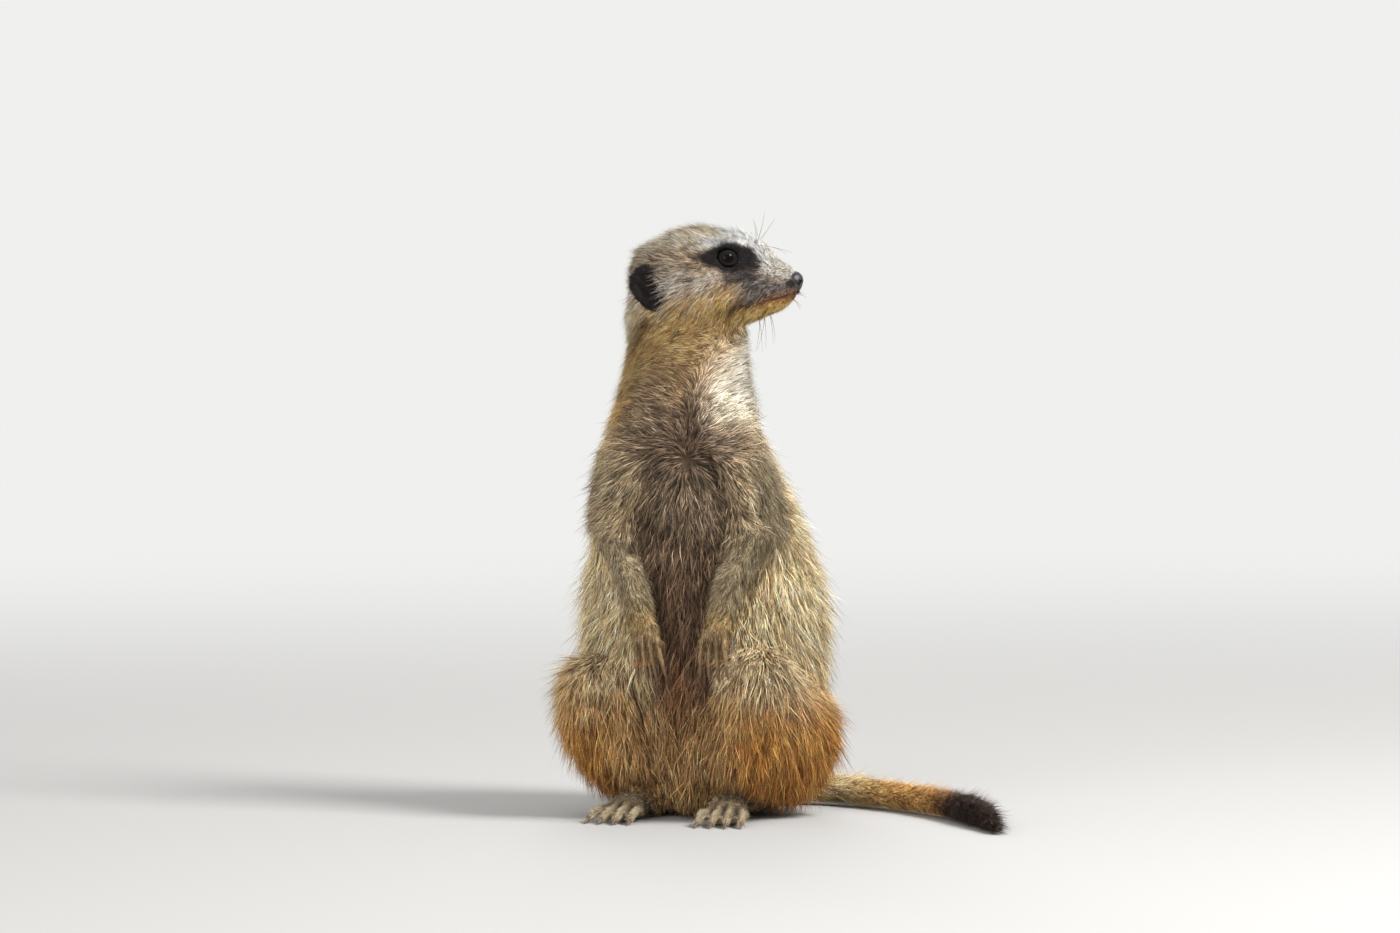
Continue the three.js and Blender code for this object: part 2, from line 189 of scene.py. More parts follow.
# Each run of coat: the parts it grows on, a finish name that nothing uses, and whether it is long.
COAT_PIECES = {
    "coat_head": (HEAD, "face_fur", False),
    "coat_neck": (("neck",), "chest_fur", False),
    "coat_chest": (("chest",), "chest_fur", True),
    "coat_belly": (("belly",), "back_fur", True),
    "coat_arms": (ARMS, "limb_fur", False),
    "coat_legs": (LEGS, "thigh_fur", True),
    "coat_paws": (HANDS + FEET, "paw_fur", False),
    "coat_tail": (TAIL, "tail_fur", False),
}
PIECE_TRIANGLES = 190000  # the most in one piece of coat
LOCK_TUFTS = 7  # how many tufts lie together in one lock
LIGHT_TIPS = 0.64  # share of the tufts whose tips are pale, where the others' are dark
MAP_MARGIN = 0.006  # empty edge of the coat's bake map
MAP_HALF_PATCH = 0.0015  # half a tuft's patch on that map

# One way of growing: the tuft's rings, the share of guard hairs, and how much the locks differ in
# shade. A ring is share of the tuft's length, share of its width, and how dark it is there; the
# roots are darkest, partly for the darker underfur and partly as painted shade deep in the coat.
Growth = namedtuple("Growth", "rings guard_share contrast")
LONG_FUR = Growth(((0.0, 0.8, 0.45), (0.42, 1.0, 0.95)), 0.25, 0.27)
SHORT_FUR = Growth(((0.0, 1.0, 0.58),), 0.22, 0.36)
EAR_FUR = Growth(((0.0, 1.0, 0.58),), 0.1, 0.2)

# Where one part lies against another: the parts whose hair gives way, the parts they lie against,
# how near that is felt in millimetres, how much shorter the hair is and how much shade is painted
# into it there, and how much less the skin is smoothed.
Meeting = namedtuple("Meeting", "nodes against reach shorter darker crisp")
MEETINGS = (
    Meeting(TRUNK + LEGS, LOWER_ARMS, 10, 0.66, 0.5, 0.8),
    Meeting(TRUNK, LEGS, 7, 0.45, 0.5, 0.55),
    Meeting(TRUNK + LEGS, FEET, 14, 0.82, 0.3, 0.6),
    Meeting(ARMS, HANDS, 7, 0.45, 0.0, 0.0),
)


def kind(node):
    """The node's name without its side."""
    return node.replace("_left", "").replace("_right", "")


def digits_of(node):
    """The fingers of a hand or the toes of a foot."""
    return FINGERS if node in HANDS else TOES


def srgb(red, green, blue):
    """A colour as written on screen, as the linear values that Blender mixes."""
    values = [channel / 255 for channel in (red, green, blue)]
    return [v / 12.92 if v <= 0.04045 else ((v + 0.055) / 1.055) ** 2.4 for v in values]


# ---------------------------------------------------------------- places taken from the frame


def corners(node):
    """The low and high corners of a CAD node's box."""
    low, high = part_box(node)
    return np.array(low), np.array(high)


def middle(node):
    """The middle of a CAD node's box."""
    low, high = corners(node)
    return (low + high) / 2


def node_points(node):
    """The corners of a CAD node's faces."""
    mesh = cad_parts[node].data
    points = np.empty(len(mesh.vertices) * 3)
    mesh.vertices.foreach_get("co", points)
    return points.reshape(-1, 3)


def ends(node, towards):
    """The middles of a solid's first and last slices in a direction."""
    points = node_points(node)
    along = points @ np.array(towards, float)
    reach = (along - along.min()) / (along.max() - along.min())
    return points[reach < 0.15].mean(axis=0), points[reach > 0.85].mean(axis=0)


def unit(vector):
    """The same direction with a length of 1, for one vector or for a row of each."""
    vector = np.asarray(vector, float)
    return vector / np.maximum(np.linalg.norm(vector, axis=-1, keepdims=True), 1e-12)


EYES = {side: middle(f"eye_{side}") for side in SIDES}
BETWEEN_EYES = (EYES["left"] + EYES["right"]) / 2
UP = np.array([0.0, 0.0, 1.0])
HEAD_LEFT = unit(EYES["left"] - EYES["right"])
HEAD_AHEAD = unit(np.cross(HEAD_LEFT, UP))
HEAD_AXES = np.array([HEAD_AHEAD, HEAD_LEFT, UP])


def in_head(points):
    """Places as ahead, left and up from between the eyes, in millimetres."""
    return (np.asarray(points) - BETWEEN_EYES) @ HEAD_AXES.T / MM


def from_head(ahead, left, up):
    """The place that lies so far ahead, left and up from between the eyes."""
    return BETWEEN_EYES + np.array([ahead, left, up]) @ HEAD_AXES * MM


def trunk_turn(points):
    """Angle round the trunk from its front line, in degrees: 0 in front, 180 on the back."""
    across, ahead, heights = np.array([middle(node) for node in reversed(TRUNK)]).T
    centre_x = np.interp(points[:, 2], heights, across)
    centre_y = np.interp(points[:, 2], heights, ahead)
    level, facing = zip(*FRONT_LINE)
    front = np.interp(points[:, 2] / MM, level, facing)
    turn = np.degrees(np.arctan2(points[:, 0] - centre_x, centre_y - points[:, 1])) - front
    return (turn + 180) % 360 - 180


def step(values, low, high):
    """0 below low, 1 above high, and smooth between. It falls where low is the larger."""
    share = np.clip((values - low) / (high - low), 0, 1)
    return share * share * (3 - 2 * share)


def spot(across, up, wide, tall):
    """A soft round patch: 1 in its middle and near 0 past its edge."""
    return np.exp(-((across / wide) ** 2) - (up / tall) ** 2)


def about(away, reach):
    """1 where a vector from some place is short, fading to near 0 past its reach."""
    return np.exp(-((np.linalg.norm(away, axis=1) / reach) ** 2))


def members(labels, nodes):
    """1 on the vertices that belong to some of the parts of the body, and 0 on the others."""
    return np.isin(labels, [FLESH.index(node) for node in nodes]).astype(float)


# ---------------------------------------------------------------- meshes and objects


def object_from(bm, name):
    """A finished piece, with its place in its mesh and its faces smooth."""
    mesh = bpy.data.meshes.new(name)
    bm.to_mesh(mesh)
    bm.free()
    mesh.shade_smooth()
    piece = bpy.data.objects.new(name, mesh)
    bpy.context.collection.objects.link(piece)
    return piece


def finish(piece, material, slot, *replaced):
    """Gives a piece its material and its place in the frame."""
    piece.data.materials.clear()
    piece.data.materials.append(material)
    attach(piece, "root")
    if replaced:
        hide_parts(*replaced)


def node_solid(node, swell=0.0):
    """A CAD solid as a bmesh with its shared corners merged, swollen a little."""
    bm = bmesh.new()
    bm.from_mesh(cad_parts[node].data)
    bmesh.ops.remove_doubles(bm, verts=bm.verts, dist=1e-6)
    bm.normal_update()
    for vert in bm.verts:
        vert.co += vert.normal * swell
    return bm


def joined(solids):
    """Several bmeshes as one."""
    whole = bmesh.new()
    for solid in solids:
        mesh = bpy.data.meshes.new("part")
        solid.to_mesh(mesh)
        solid.free()
        whole.from_mesh(mesh)
        bpy.data.meshes.remove(mesh)
    return whole


def outer_surface(bm, name, voxel):
    """The outside of overlapping solids as one even mesh."""
    piece = object_from(bm, name)
    even = piece.modifiers.new("even", "REMESH")
    even.mode = "VOXEL"
    even.voxel_size = voxel
    return applied(piece)


def applied(piece):
    """The piece with its modifiers made part of its mesh."""
    view = bpy.context.evaluated_depsgraph_get()
    view.update()
    mesh = bpy.data.meshes.new_from_object(piece.evaluated_get(view))
    old = piece.data
    piece.modifiers.clear()
    piece.data = mesh
    bpy.data.meshes.remove(old)
    mesh.name = piece.name
    return piece


def read(data, name, width):
    """One property of a mesh's elements, as an array."""
    values = np.empty(len(data) * width, np.float32)
    data.foreach_get(name, values)
    return values.reshape(-1, width).astype(float)


def triangles_of(mesh):
    """The vertices at the corners of each of a mesh's triangles."""
    mesh.calc_loop_triangles()
    corners = np.empty(len(mesh.loop_triangles) * 3, np.int32)
    mesh.loop_triangles.foreach_get("vertices", corners)
    return corners.reshape(-1, 3)


def place_points(mesh, points):
    """Moves a mesh's vertices."""
    mesh.vertices.foreach_set("co", np.asarray(points, np.float32).ravel())
    mesh.update()


def write(mesh, name, values, form="FLOAT", prop="value"):
    """Stores one value for each vertex."""
    layer = mesh.attributes.get(name) or mesh.attributes.new(name, form, "POINT")
    layer.data.foreach_set(prop, np.asarray(values, np.float32).ravel())


def write_vectors(mesh, name, vectors):
    """Stores one direction for each vertex."""
    write(mesh, name, vectors, "FLOAT_VECTOR", "vector")


def write_colour(mesh, colours):
    """Stores the coat's colour for each vertex."""
    full = np.ones((len(colours), 4), np.float32)
    full[:, :3] = colours
    write(mesh, "coat", full, "FLOAT_COLOR", "color")


class Web:
    """A mesh's vertices and the edges between them, for spreading values over the surface."""

    def __init__(self, mesh):
        edges = np.empty(len(mesh.edges) * 2, np.int32)
        mesh.edges.foreach_get("vertices", edges)
        pairs = np.concatenate([edges.reshape(-1, 2), edges.reshape(-1, 2)[:, ::-1]])
        pairs = pairs[np.argsort(pairs[:, 0], kind="stable")]
        self.near = pairs[:, 1]
        self.starts = np.searchsorted(pairs[:, 0], np.arange(len(mesh.vertices)))
        self.count = np.bincount(pairs[:, 0], minlength=len(mesh.vertices))[:, None]

    def around(self, values):
        """The mean of each vertex's neighbours."""
        return np.add.reduceat(values[self.near], self.starts, axis=0) / self.count

    def blur(self, values, passes):
        """Values drawn halfway towards their neighbours' in each pass, as columns."""
        values = values if values.ndim == 2 else values[:, None]
        for _ in range(passes):
            values = values + 0.5 * (self.around(values) - values)
        return values


# ---------------------------------------------------------------- skin


def digit_spheres(bm, root, tip, digits):
    """One finger or toe as a chain of balls, thicker at its joints and deeper at its root."""
    for share in np.linspace(0, 1, 15):
        centre = root + (tip - root) * share
        centre[2] += digits.bulge * math.sin(math.pi * share)
        size = digits.radius * (1.0 + 0.05 * math.cos(3 * math.pi * share) - 0.1 * share)
        tall = 1 + digits.deep * (1.5 - share)
        place = Matrix.Translation(Vector(centre * MM)) @ Matrix.Diagonal((1, 1, tall, 1))
        bmesh.ops.create_icosphere(bm, subdivisions=2, radius=size * MM, matrix=place)


def pads(bm, sections):
    """A palm or instep as a row of flattened balls. A section is x, y, z, half width, half height."""
    for x, y, z, wide, tall in sections:
        place = Matrix.Translation(Vector((x, y, z)) * MM)
        size = Matrix.Diagonal((wide * MM, wide * 0.9 * MM, tall * MM, 1))
        bmesh.ops.create_icosphere(bm, subdivisions=3, radius=1, matrix=place @ size)


def paw_place(node, towards):
    """Where a paw's own frame stands: origin at its root, -Y to its claws, +Z its upper side."""
    root, tips = ends(node, towards)
    ahead = unit(tips - root)
    hint = np.array([0.0, -1.0, 0.0]) if abs(ahead[2]) > 0.7 else UP
    side = unit(np.cross(-ahead, hint))
    upper = np.cross(side, -ahead)
    place = Matrix.Identity(4)
    for row in range(3):
        place[row][0], place[row][1] = side[row], -ahead[row]
        place[row][2], place[row][3] = upper[row], root[row]
    return place


def digit_lines(digits):
    """Root and tip of each finger or toe in the paw's own frame, in millimetres."""
    for number in range(digits.count):
        out = number - (digits.count - 1) / 2
        start = np.array([out * digits.pitch, -digits.root + abs(out) * 1.1, digits.rise])
        turn = np.array([math.sin(out * digits.fan), -math.cos(out * digits.fan), 0])
        tip = start + turn * digits.length
        tip[2] = digits.drop
        yield start, tip


def foot_place(node):
    """A foot's frame, level and with its sole on the ground."""
    place = paw_place(node, (0, -1, 0))
    heading = Vector((place[0][1], place[1][1], 0)).normalized()
    side = heading.cross(Vector((0, 0, 1)))
    for row in range(3):
        place[row][0], place[row][1] = side[row], heading[row]
        place[row][2] = 1.0 if row == 2 else 0.0
    place[2][3] = 0.0
    return place


def place_of_paw(node):
    """The frame of a hand, which hangs, or of a foot, which stands."""
    return paw_place(node, (0, 0, -1)) if node in HANDS else foot_place(node)


def paw_solid(node):
    """A palm or an instep with its fingers or toes."""
    digits = digits_of(node)
    bm = bmesh.new()
    pads(bm, digits.pads)
    for start, tip in digit_lines(digits):
        digit_spheres(bm, start, tip, digits)
    bmesh.ops.transform(bm, matrix=place_of_paw(node), verts=bm.verts)
    return bm


def in_paw(node, points):
    """Places as across, ahead and above in a paw's own frame, in millimetres."""
    inverse = np.array(place_of_paw(node).inverted())
    local = (points @ inverse[:3, :3].T + inverse[:3, 3]) / MM
    return local * np.array([1, -1, 1])


def digit_gaps(node, points):
    """1 in the grooves between the fingers or toes, on the paw's upper side."""
    digits = digits_of(node)
    across, ahead, above = in_paw(node, points).T
    start = digits.root - digits.groove_start
    pitch = digits.pitch + digits.fan * np.maximum(ahead - digits.root, 0)
    gap = np.clip(np.round(across / pitch), -1, 1)
    near = np.exp(-(((across - gap * pitch) / (digits.groove_width * digits.pitch)) ** 2))
    upper = step(above, digits.groove_low, digits.groove_high)
    return near * step(ahead, start, start + 3) * upper


def tree_of(nodes):
    """The faces of some solids, for finding what lies near, and which solid each belongs to."""
    corners, faces, owners = [], [], []
    for number, node in enumerate(nodes):
        triangles = triangles_of(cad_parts[node].data)
        offset = sum(len(block) for block in corners)
        corners.append(node_points(node))
        faces.extend((triangles + offset).tolist())
        owners.extend([number] * len(triangles))
    return BVHTree.FromPolygons(np.concatenate(corners).tolist(), faces), owners


def nearest_nodes(points):
    """For each point, the place in FLESH of the solid that it lies nearest to."""
    tree, owners = tree_of(FLESH)
    return np.array([owners[tree.find_nearest(point)[2]] for point in points.tolist()])


def meeting_masks(points, labels):
    """For each meeting of parts, 1 where they touch and 0 out of its reach."""
    masks = []
    for meeting in MEETINGS:
        tree = tree_of(meeting.against)[0]
        here = members(labels, meeting.nodes)
        places = points[here > 0].tolist()
        gaps = np.array([tree.find_nearest(place)[3] for place in places]) / MM
        here[here > 0] = step(gaps, meeting.reach, 1.0)
        if meeting.against == LOWER_ARMS:
            here = here * step(points[:, 2] / MM, 122, 104)
        masks.append(here)
    return masks


def thin_out(skin, fine):
    """Fewer, larger faces on the parts whose shape the long coat hides."""
    labels = nearest_nodes(read(skin.data.vertices, "co", 3))
    coarse = skin.vertex_groups.new(name="coarse")
    keep = [FLESH.index(node) for node in fine]
    coarse.add(np.nonzero(~np.isin(labels, keep))[0].tolist(), 1.0, "REPLACE")
    fewer = skin.modifiers.new("fewer", "DECIMATE")
    fewer.ratio = bpy.context.scene.meerkat_skin.thinning
    fewer.vertex_group = coarse.name
    applied(skin)
    skin.vertex_groups.clear()


def smooth_skin(mesh, labels):
    """Rounds off the facets, strongly on the trunk and lightly where the forms are small."""
    share = coat_value(labels, "smoothing")
    web = Web(mesh)
    points = read(mesh.vertices, "co", 3)
    for mask, meeting in zip(meeting_masks(points, labels), MEETINGS):
        share = share * (1 - meeting.crisp * mask)
    share = web.blur(share, 8)
    for _ in range(70):
        points = points + share * (web.around(points) - points)
    place_points(mesh, points)
    return web


def face_relief(place):
    """How far the face stands out from or sinks into the head's plain form, in millimetres."""
    ahead, left, up = place.T
    side = np.abs(left)
    relief = 0.9 * spot(ahead - 1.5, up - 6.6, 7.5, 2.6) * step(side, 5, 9)
    relief -= 1.1 * spot(ahead - 7.5, up + 3.2, 4.5, 3.6) * step(side, 4, 8)
    relief -= 0.7 * spot(ahead + 8, up + 1, 4, 5) * step(side, 6, 10)
    relief += 0.7 * spot(ahead + 1, up + 8.5, 8, 3) * step(side, 8, 13)
    relief += 0.8 * spot(ahead - 21, up + 12.2, 6, 3.4) * step(side, 2, 5)
    relief -= 0.5 * spot(ahead - 22, up + 6.2, 7, 1.8) * step(side, 2, 4)
    relief += 1.1 * step(ahead, 15, 24) * step(up, -13, -8) * step(side, 7, 2)
    relief -= 0.6 * mouth_line(place, 0.7)
    return relief


def mouth_line(place, width):
    """1 on the line between the lips, from under the nose to the corner of the mouth."""
    ahead, _, up = place.T
    (front, front_up), (corner, corner_up) = MOUTH_FRONT, MOUTH_CORNER
    share = (ahead - corner) / (front - corner)
    line = corner_up + (front_up - corner_up) * share - 0.9 * np.sin(np.pi * np.clip(share, 0, 1))
    near = np.exp(-(((up - line) / width) ** 2))
    return near * step(share, -0.03, 0.06) * step(share, 1.12, 1.0)


def coat_value(labels, field):
    """One of the coat's measures for each vertex, by the part it belongs to."""
    return np.array([getattr(COATS[kind(node)], field) for node in FLESH])[labels]


def short_on_face(place, labels):
    """How much shorter the hair is towards the nose, the eyes and the lips."""
    to_nose = 1 - 0.55 * step(place[:, 0], 2, 26)
    eye = np.sqrt((place[:, 0] - 0.5) ** 2 + (place[:, 2]) ** 2) + 6 * (np.abs(place[:, 1]) < 6)
    by_eye = 1 - 0.6 * step(eye, 15, 8)
    return np.where(members(labels, HEAD) > 0, np.minimum(to_nose, by_eye), 1.0)


def high_on_neck(points, labels):
    """1 on the top of the neck, where its hair shortens towards the head."""
    return members(labels, ("neck",)) * step(points[:, 2] / MM, 176, 206)


def limb_axes():
    """Which way the hair runs along each part, before the finer turns are added."""
    down = np.array([0.0, 0.0, -1.0])
    axes = {node: down for node in FLESH}
    for nodes, towards in ((ARMS + HANDS, (0, 0, -1)), (FEET, (0, -1, 0)), (TAIL, (1, 0, 0))):
        for node in nodes:
            first, last = ends(node, towards)
            axes[node] = unit(last - first)
    for node in HEAD:
        axes[node] = -HEAD_AHEAD
    return axes


def trunk_flow(points, labels):
    """The hair of the throat parts upwards from the whorl on the chest, and falls below it."""
    height = points[:, 2] / MM
    turn = trunk_turn(points)
    centre = points * np.array([0.0, 0.0, 1.0])
    round_left = unit(np.cross(UP, points - centre))
    trunk = members(labels, TRUNK)
    throat = trunk * step(height, WHORL_HEIGHT - 1, WHORL_HEIGHT + 8) * step(height, 212, 198)
    beside = step(np.abs(turn), 78, 34)
    outward = np.sign(turn) * throat * beside * 1.15
    rising = throat * step(np.abs(turn), 70, 30) * (1.55 - 0.5 * step(height, 180, 200))
    shoulder = step(breast_edge(height, turn), 0, 8) * step(height, 112, 124)
    shoulder = shoulder * step(height, WHORL_HEIGHT + 6, WHORL_HEIGHT - 6) * step(np.abs(turn), 92, 60)
    outward = outward + np.sign(turn) * trunk * shoulder
    flow = outward[:, None] * round_left + rising[:, None] * UP
    gap = np.stack([turn * 0.6, height - WHORL_HEIGHT], axis=1)
    near = trunk * np.exp(-((np.linalg.norm(gap, axis=1) / 13) ** 2))
    return flow + 2.6 * near[:, None] * unit(round_left * gap[:, :1] + UP * gap[:, 1:])


def flow_of(points, labels):
    """The lie of the coat: which way a hair points before it is laid along the skin."""
    axes = limb_axes()
    flow = np.array([axes[node] for node in FLESH])[labels] + trunk_flow(points, labels)
    ahead, _, up = in_head(points).T
    high = 0.7 * step(up, -8, 4) - 0.35 - 0.75 * step(up, -9, -17) * step(ahead, 14, -2)
    flow = flow + (members(labels, HEAD) * high)[:, None] * UP
    height = points[:, 2] / MM
    flow = flow - (0.7 * members(labels, ("neck",)) * step(height, 186, 200))[:, None] * HEAD_AHEAD
    inward = members(labels, TRUNK) * step(height, 76, 50) * np.clip(trunk_turn(points) / 30, -1, 1)
    flow = flow - 0.5 * inward[:, None] * np.array([1.0, 0.0, 0.0])
    for side in SIDES:
        flow = over_knee(flow, points, labels, side)
        flow = round_eye(flow, points, side)
    return unit(flow)


def over_knee(flow, points, labels, side):
    """The flow with the hair fanned out from the knee and swept forward over its top."""
    knee = ends(f"shank_{side}", (0, 0.3, -1))[0] + np.array([0, 12, 26]) * MM
    leg = members(labels, (f"thigh_{side}", f"shank_{side}"))
    away = points - knee
    fan = 0.5 * leg * step(np.linalg.norm(away, axis=1), 8 * MM, 24 * MM)
    forward = 1.1 * leg * step(points[:, 2], knee[2] - 29 * MM, knee[2] - 12 * MM)
    return flow + fan[:, None] * unit(away) - forward[:, None] * np.array([0.0, 1.0, 0.0])


def round_eye(flow, points, side):
    """The flow with the hair turned away from an eye, but never forwards."""
    away = points - EYES[side]
    near = about(away, 7.5 * MM)
    away = unit(away)
    away = away - HEAD_AHEAD * np.maximum(away @ HEAD_AHEAD, 0)[:, None]
    return flow + 1.5 * near[:, None] * away


def laid(flow, normals):
    """Directions turned into the surface."""
    return unit(flow - normals * np.sum(flow * normals, axis=1, keepdims=True))


def beside_breast(points, labels):
    """1 on the fold between the breast and each arm, fading over a few millimetres."""
    height = points[:, 2] / MM
    past = breast_edge(height, trunk_turn(points))
    here = step(height, 100, 112) * step(height, 160, 150) * members(labels, TRUNK + ARMS)
    return here * np.exp(-((past / 4.0) ** 2))


def on_parting(points, labels):
    """1 on the line where the hair of the throat parts, down to the whorl."""
    height = points[:, 2] / MM
    turn = trunk_turn(points)
    trunk = members(labels, TRUNK)
    line = np.exp(-((turn / 5.5) ** 2)) * step(height, 148, 154) * step(height, 201, 190)
    return trunk * np.maximum(line, spot(turn * 0.6, height - WHORL_HEIGHT, 5.0, 4.0))


def before_ear(points, side):
    """1 just in front of an ear, where longer hair lies over its edge."""
    return about(points - middle(f"ear_{side}") - HEAD_AHEAD * 7.5 * MM, 4.0 * MM)


def beside_nose(place):
    """1 on the bare skin behind each nostril."""
    ahead, left, up = place.T
    return spot(ahead - 26.2, up + 10.6, 2.4, 2.1) * step(np.abs(left), 1.0, 2.0)


def thinly_haired(points, labels, place):
    """How full the coat is, from 0 on the bare eyes, nose and lips to 1."""
    full = 1 - step(mouth_line(place, 0.45), 0.4, 0.8)
    for side in SIDES:
        full = full * step(np.linalg.norm(points - EYES[side], axis=1), 4.2 * MM, 4.7 * MM)
    nose = middle("nose") - HEAD_AHEAD * MM
    full = full * step(np.linalg.norm(points - nose, axis=1), 3.9 * MM, 4.4 * MM)
    full = full * (1 - step(beside_nose(place), 0.4, 0.7))
    for node in HANDS + FEET:
        full = full * (1 - 0.95 * members(labels, (node,)) * digit_gaps(node, points))
    return full * step(points[:, 2], 0.6 * MM, 2.0 * MM)


def hair_measures(points, labels, place):
    """Length, width, number and steepness of the tufts all over the body."""
    short = short_on_face(place, labels)
    length = coat_value(labels, "length") * short
    width = coat_value(labels, "width") * (0.5 + 0.5 * short)
    density = coat_value(labels, "density") * (1.6 - 0.6 * short)
    lift = coat_value(labels, "lift")
    turn = np.abs(trunk_turn(points))
    density = density * (1 - 0.25 * members(labels, TRUNK) * step(turn, 100, 150))
    for side in SIDES:
        near = before_ear(points, side)
        length, lift = length + 2.0 * near, lift + 8 * near
    cheek = members(labels, HEAD) * step(place[:, 2], -9, -17) * step(place[:, 0], 14, -2)
    length, lift = length + 2.2 * cheek, lift + 5 * cheek
    high = high_on_neck(points, labels)
    length, width = length * (1 - 0.45 * high), width * (1 - 0.2 * high)
    density = density * (1 + 0.5 * high)
    below_neck = members(labels, ("chest",)) * step(points[:, 2] / MM, 148, 174)
    length, width = length * (1 - 0.24 * below_neck), width * (1 - 0.12 * below_neck)
    density = density * (1 + 0.2 * below_neck)
    return length, width, density, lift


def with_short_places(length, width, lift, points, labels, masks):
    """The tufts made shorter and flatter in the folds and partings, and on fingers and toes."""
    parted = on_parting(points, labels)
    length = length * (1 - 0.55 * beside_breast(points, labels)) * (1 - 0.5 * parted)
    lift = lift * (1 - 0.4 * parted)
    for node in HANDS + FEET:
        digits = digits_of(node)
        ahead = in_paw(node, points)[:, 1]
        out = members(labels, (node,)) * step(ahead, digits.short_from, digits.short_from + 4)
        length, width = length * (1 - digits.shorter * out), width * (1 - 0.2 * out)
    for mask, meeting in zip(masks, MEETINGS):
        length = length * (1 - meeting.shorter * mask)
        lift = lift * (1 - 0.35 * mask)
    return length, width, lift


def dress(mesh, web, labels):
    """Stores on the skin what the coat needs: its lie, length, width, number and steepness."""
    points = read(mesh.vertices, "co", 3)
    normals = read(mesh.vertices, "normal", 3)
    place = in_head(points)
    masks = meeting_masks(points, labels)
    length, width, density, lift = hair_measures(points, labels, place)
    length, width, lift = with_short_places(length, width, lift, points, labels, masks)
    write(mesh, "hair_length", web.blur(length, 6)[:, 0])
    write(mesh, "hair_width", web.blur(width, 8)[:, 0])
    write(mesh, "hair_density", web.blur(density, 6)[:, 0] * thinly_haired(points, labels, place))
    write(mesh, "hair_lift", web.blur(lift, 8)[:, 0])
    flow = web.blur(flow_of(points, labels), 7)
    write_vectors(mesh, "hair_flow", laid(flow, normals))
    write(mesh, "part", labels)
    tints = bpy.context.scene.meerkat_colours
    write_colour(mesh, markings(points, labels, web, tints, masks))


def inner_thigh(side):
    """Flesh that fills the fold between the lower leg and the belly."""
    knee, ankle = ends(f"shank_{side}", (0, 0.3, -1))
    centre = middle("belly")[0]
    bm = bmesh.new()
    for share in np.linspace(0.0, 1.0, 7):
        place = knee + (ankle - knee) * share
        place[0] = centre + (place[0] - centre) * (0.62 - 0.2 * share)
        place[1] += (5.0 - 1.0 * share) * MM
        size = (14.5 - 4.5 * share) * MM
        bmesh.ops.create_icosphere(bm, subdivisions=3, radius=size, matrix=Matrix.Translation(place))
    return bm


def body_relief(points, labels):
    """How far the trunk and paws stand out or sink in beside the arms and between the digits."""
    height = points[:, 2] / MM
    turn = trunk_turn(points)
    past = breast_edge(height, turn)
    here = step(height, 106, 120) * step(height, 162, 150) * members(labels, TRUNK + ARMS)
    relief = -3.4 * here * np.exp(-((past / 3.4) ** 2))
    relief += 3.2 * here * step(past, 1, 10) * step(past, 60, 24)
    relief -= 1.2 * here * step(past, -1, -7)
    relief -= 2.2 * on_parting(points, labels)
    for node in HANDS + FEET:
        relief -= digits_of(node).groove_depth * members(labels, (node,)) * digit_gaps(node, points)
    return relief


def neck_place(points, labels):
    """Carries the neck a little towards the side it faces, where it stretches to look round."""
    height = points[:, 2] / MM
    share = members(labels, TRUNK) * step(height, 158, 178) * step(height, 210, 196)
    return share[:, None] * np.array([2.2, 0.0, 0.0]) * MM


def behind_nose(points, on_head):
    """Holds the end of the snout back, so that the nose stands in front of the lips."""
    place = in_head(points)
    furthest = np.interp(place[:, 2], (-15.5, -13.5, -9.5), (30.2, 29.6, 28.0))
    past = np.maximum(place[:, 0] - furthest, 0) * on_head
    return points - (0.85 * past)[:, None] * HEAD_AHEAD * MM


def build_skin():
    """One skin over all the flesh, moved in by the depth of the coat."""
    sizes = bpy.context.scene.meerkat_skin
    bodies = [node_solid(node, 0.3 * MM) for node in FLESH if node not in HANDS + FEET]
    bodies += [inner_thigh(side) for side in SIDES]
    paws = [paw_solid(node) for node in HANDS + FEET]
    skin = outer_surface(joined(bodies + paws), "skin", sizes.detail)
    thin_out(skin, HEAD + HANDS + FEET)
    mesh = skin.data
    labels = nearest_nodes(read(mesh.vertices, "co", 3))
    web = smooth_skin(mesh, labels)
    points = read(mesh.vertices, "co", 3)
    normals = read(mesh.vertices, "normal", 3)
    place = in_head(points)
    depth = coat_value(labels, "depth") * short_on_face(place, labels)
    depth = web.blur(depth * (1 - 0.4 * high_on_neck(points, labels)), 16)
    on_head = members(labels, HEAD)
    relief = (face_relief(place) * on_head + body_relief(points, labels))[:, None]
    points = points + normals * (relief - depth) * MM + neck_place(points, labels)
    points = behind_nose(points, on_head)
    points[:, 2] = np.maximum(points[:, 2], 2 * GROUND)
    place_points(mesh, points)
    dress(mesh, web, labels)
    finish(skin, skin_material(), "back_fur", *FLESH)


# ---------------------------------------------------------------- markings


class Paint:
    """Colours laid one over another on the skin."""

    def __init__(self, colours):
        self.colours = colours

    def lay(self, tint, mask):
        """Lays a colour where the mask is 1, and its share of it where the mask is less."""
        self.colours = self.colours + (np.array(tint) - self.colours) * mask[:, None]

    def darken(self, mask):
        """Takes away light where the mask is above 0."""
        self.colours = self.colours * (1 - mask[:, None])

    def soften(self, web, part, where, passes):
        """Lets the colours run together across the edge of a part."""
        share = web.blur(part, passes)[:, 0]
        seam = np.clip(5 * share * (1 - share), 0, 1) * where
        wide = web.blur(self.colours, passes * 3 // 2)
        self.colours = self.colours + (wide - self.colours) * seam[:, None]


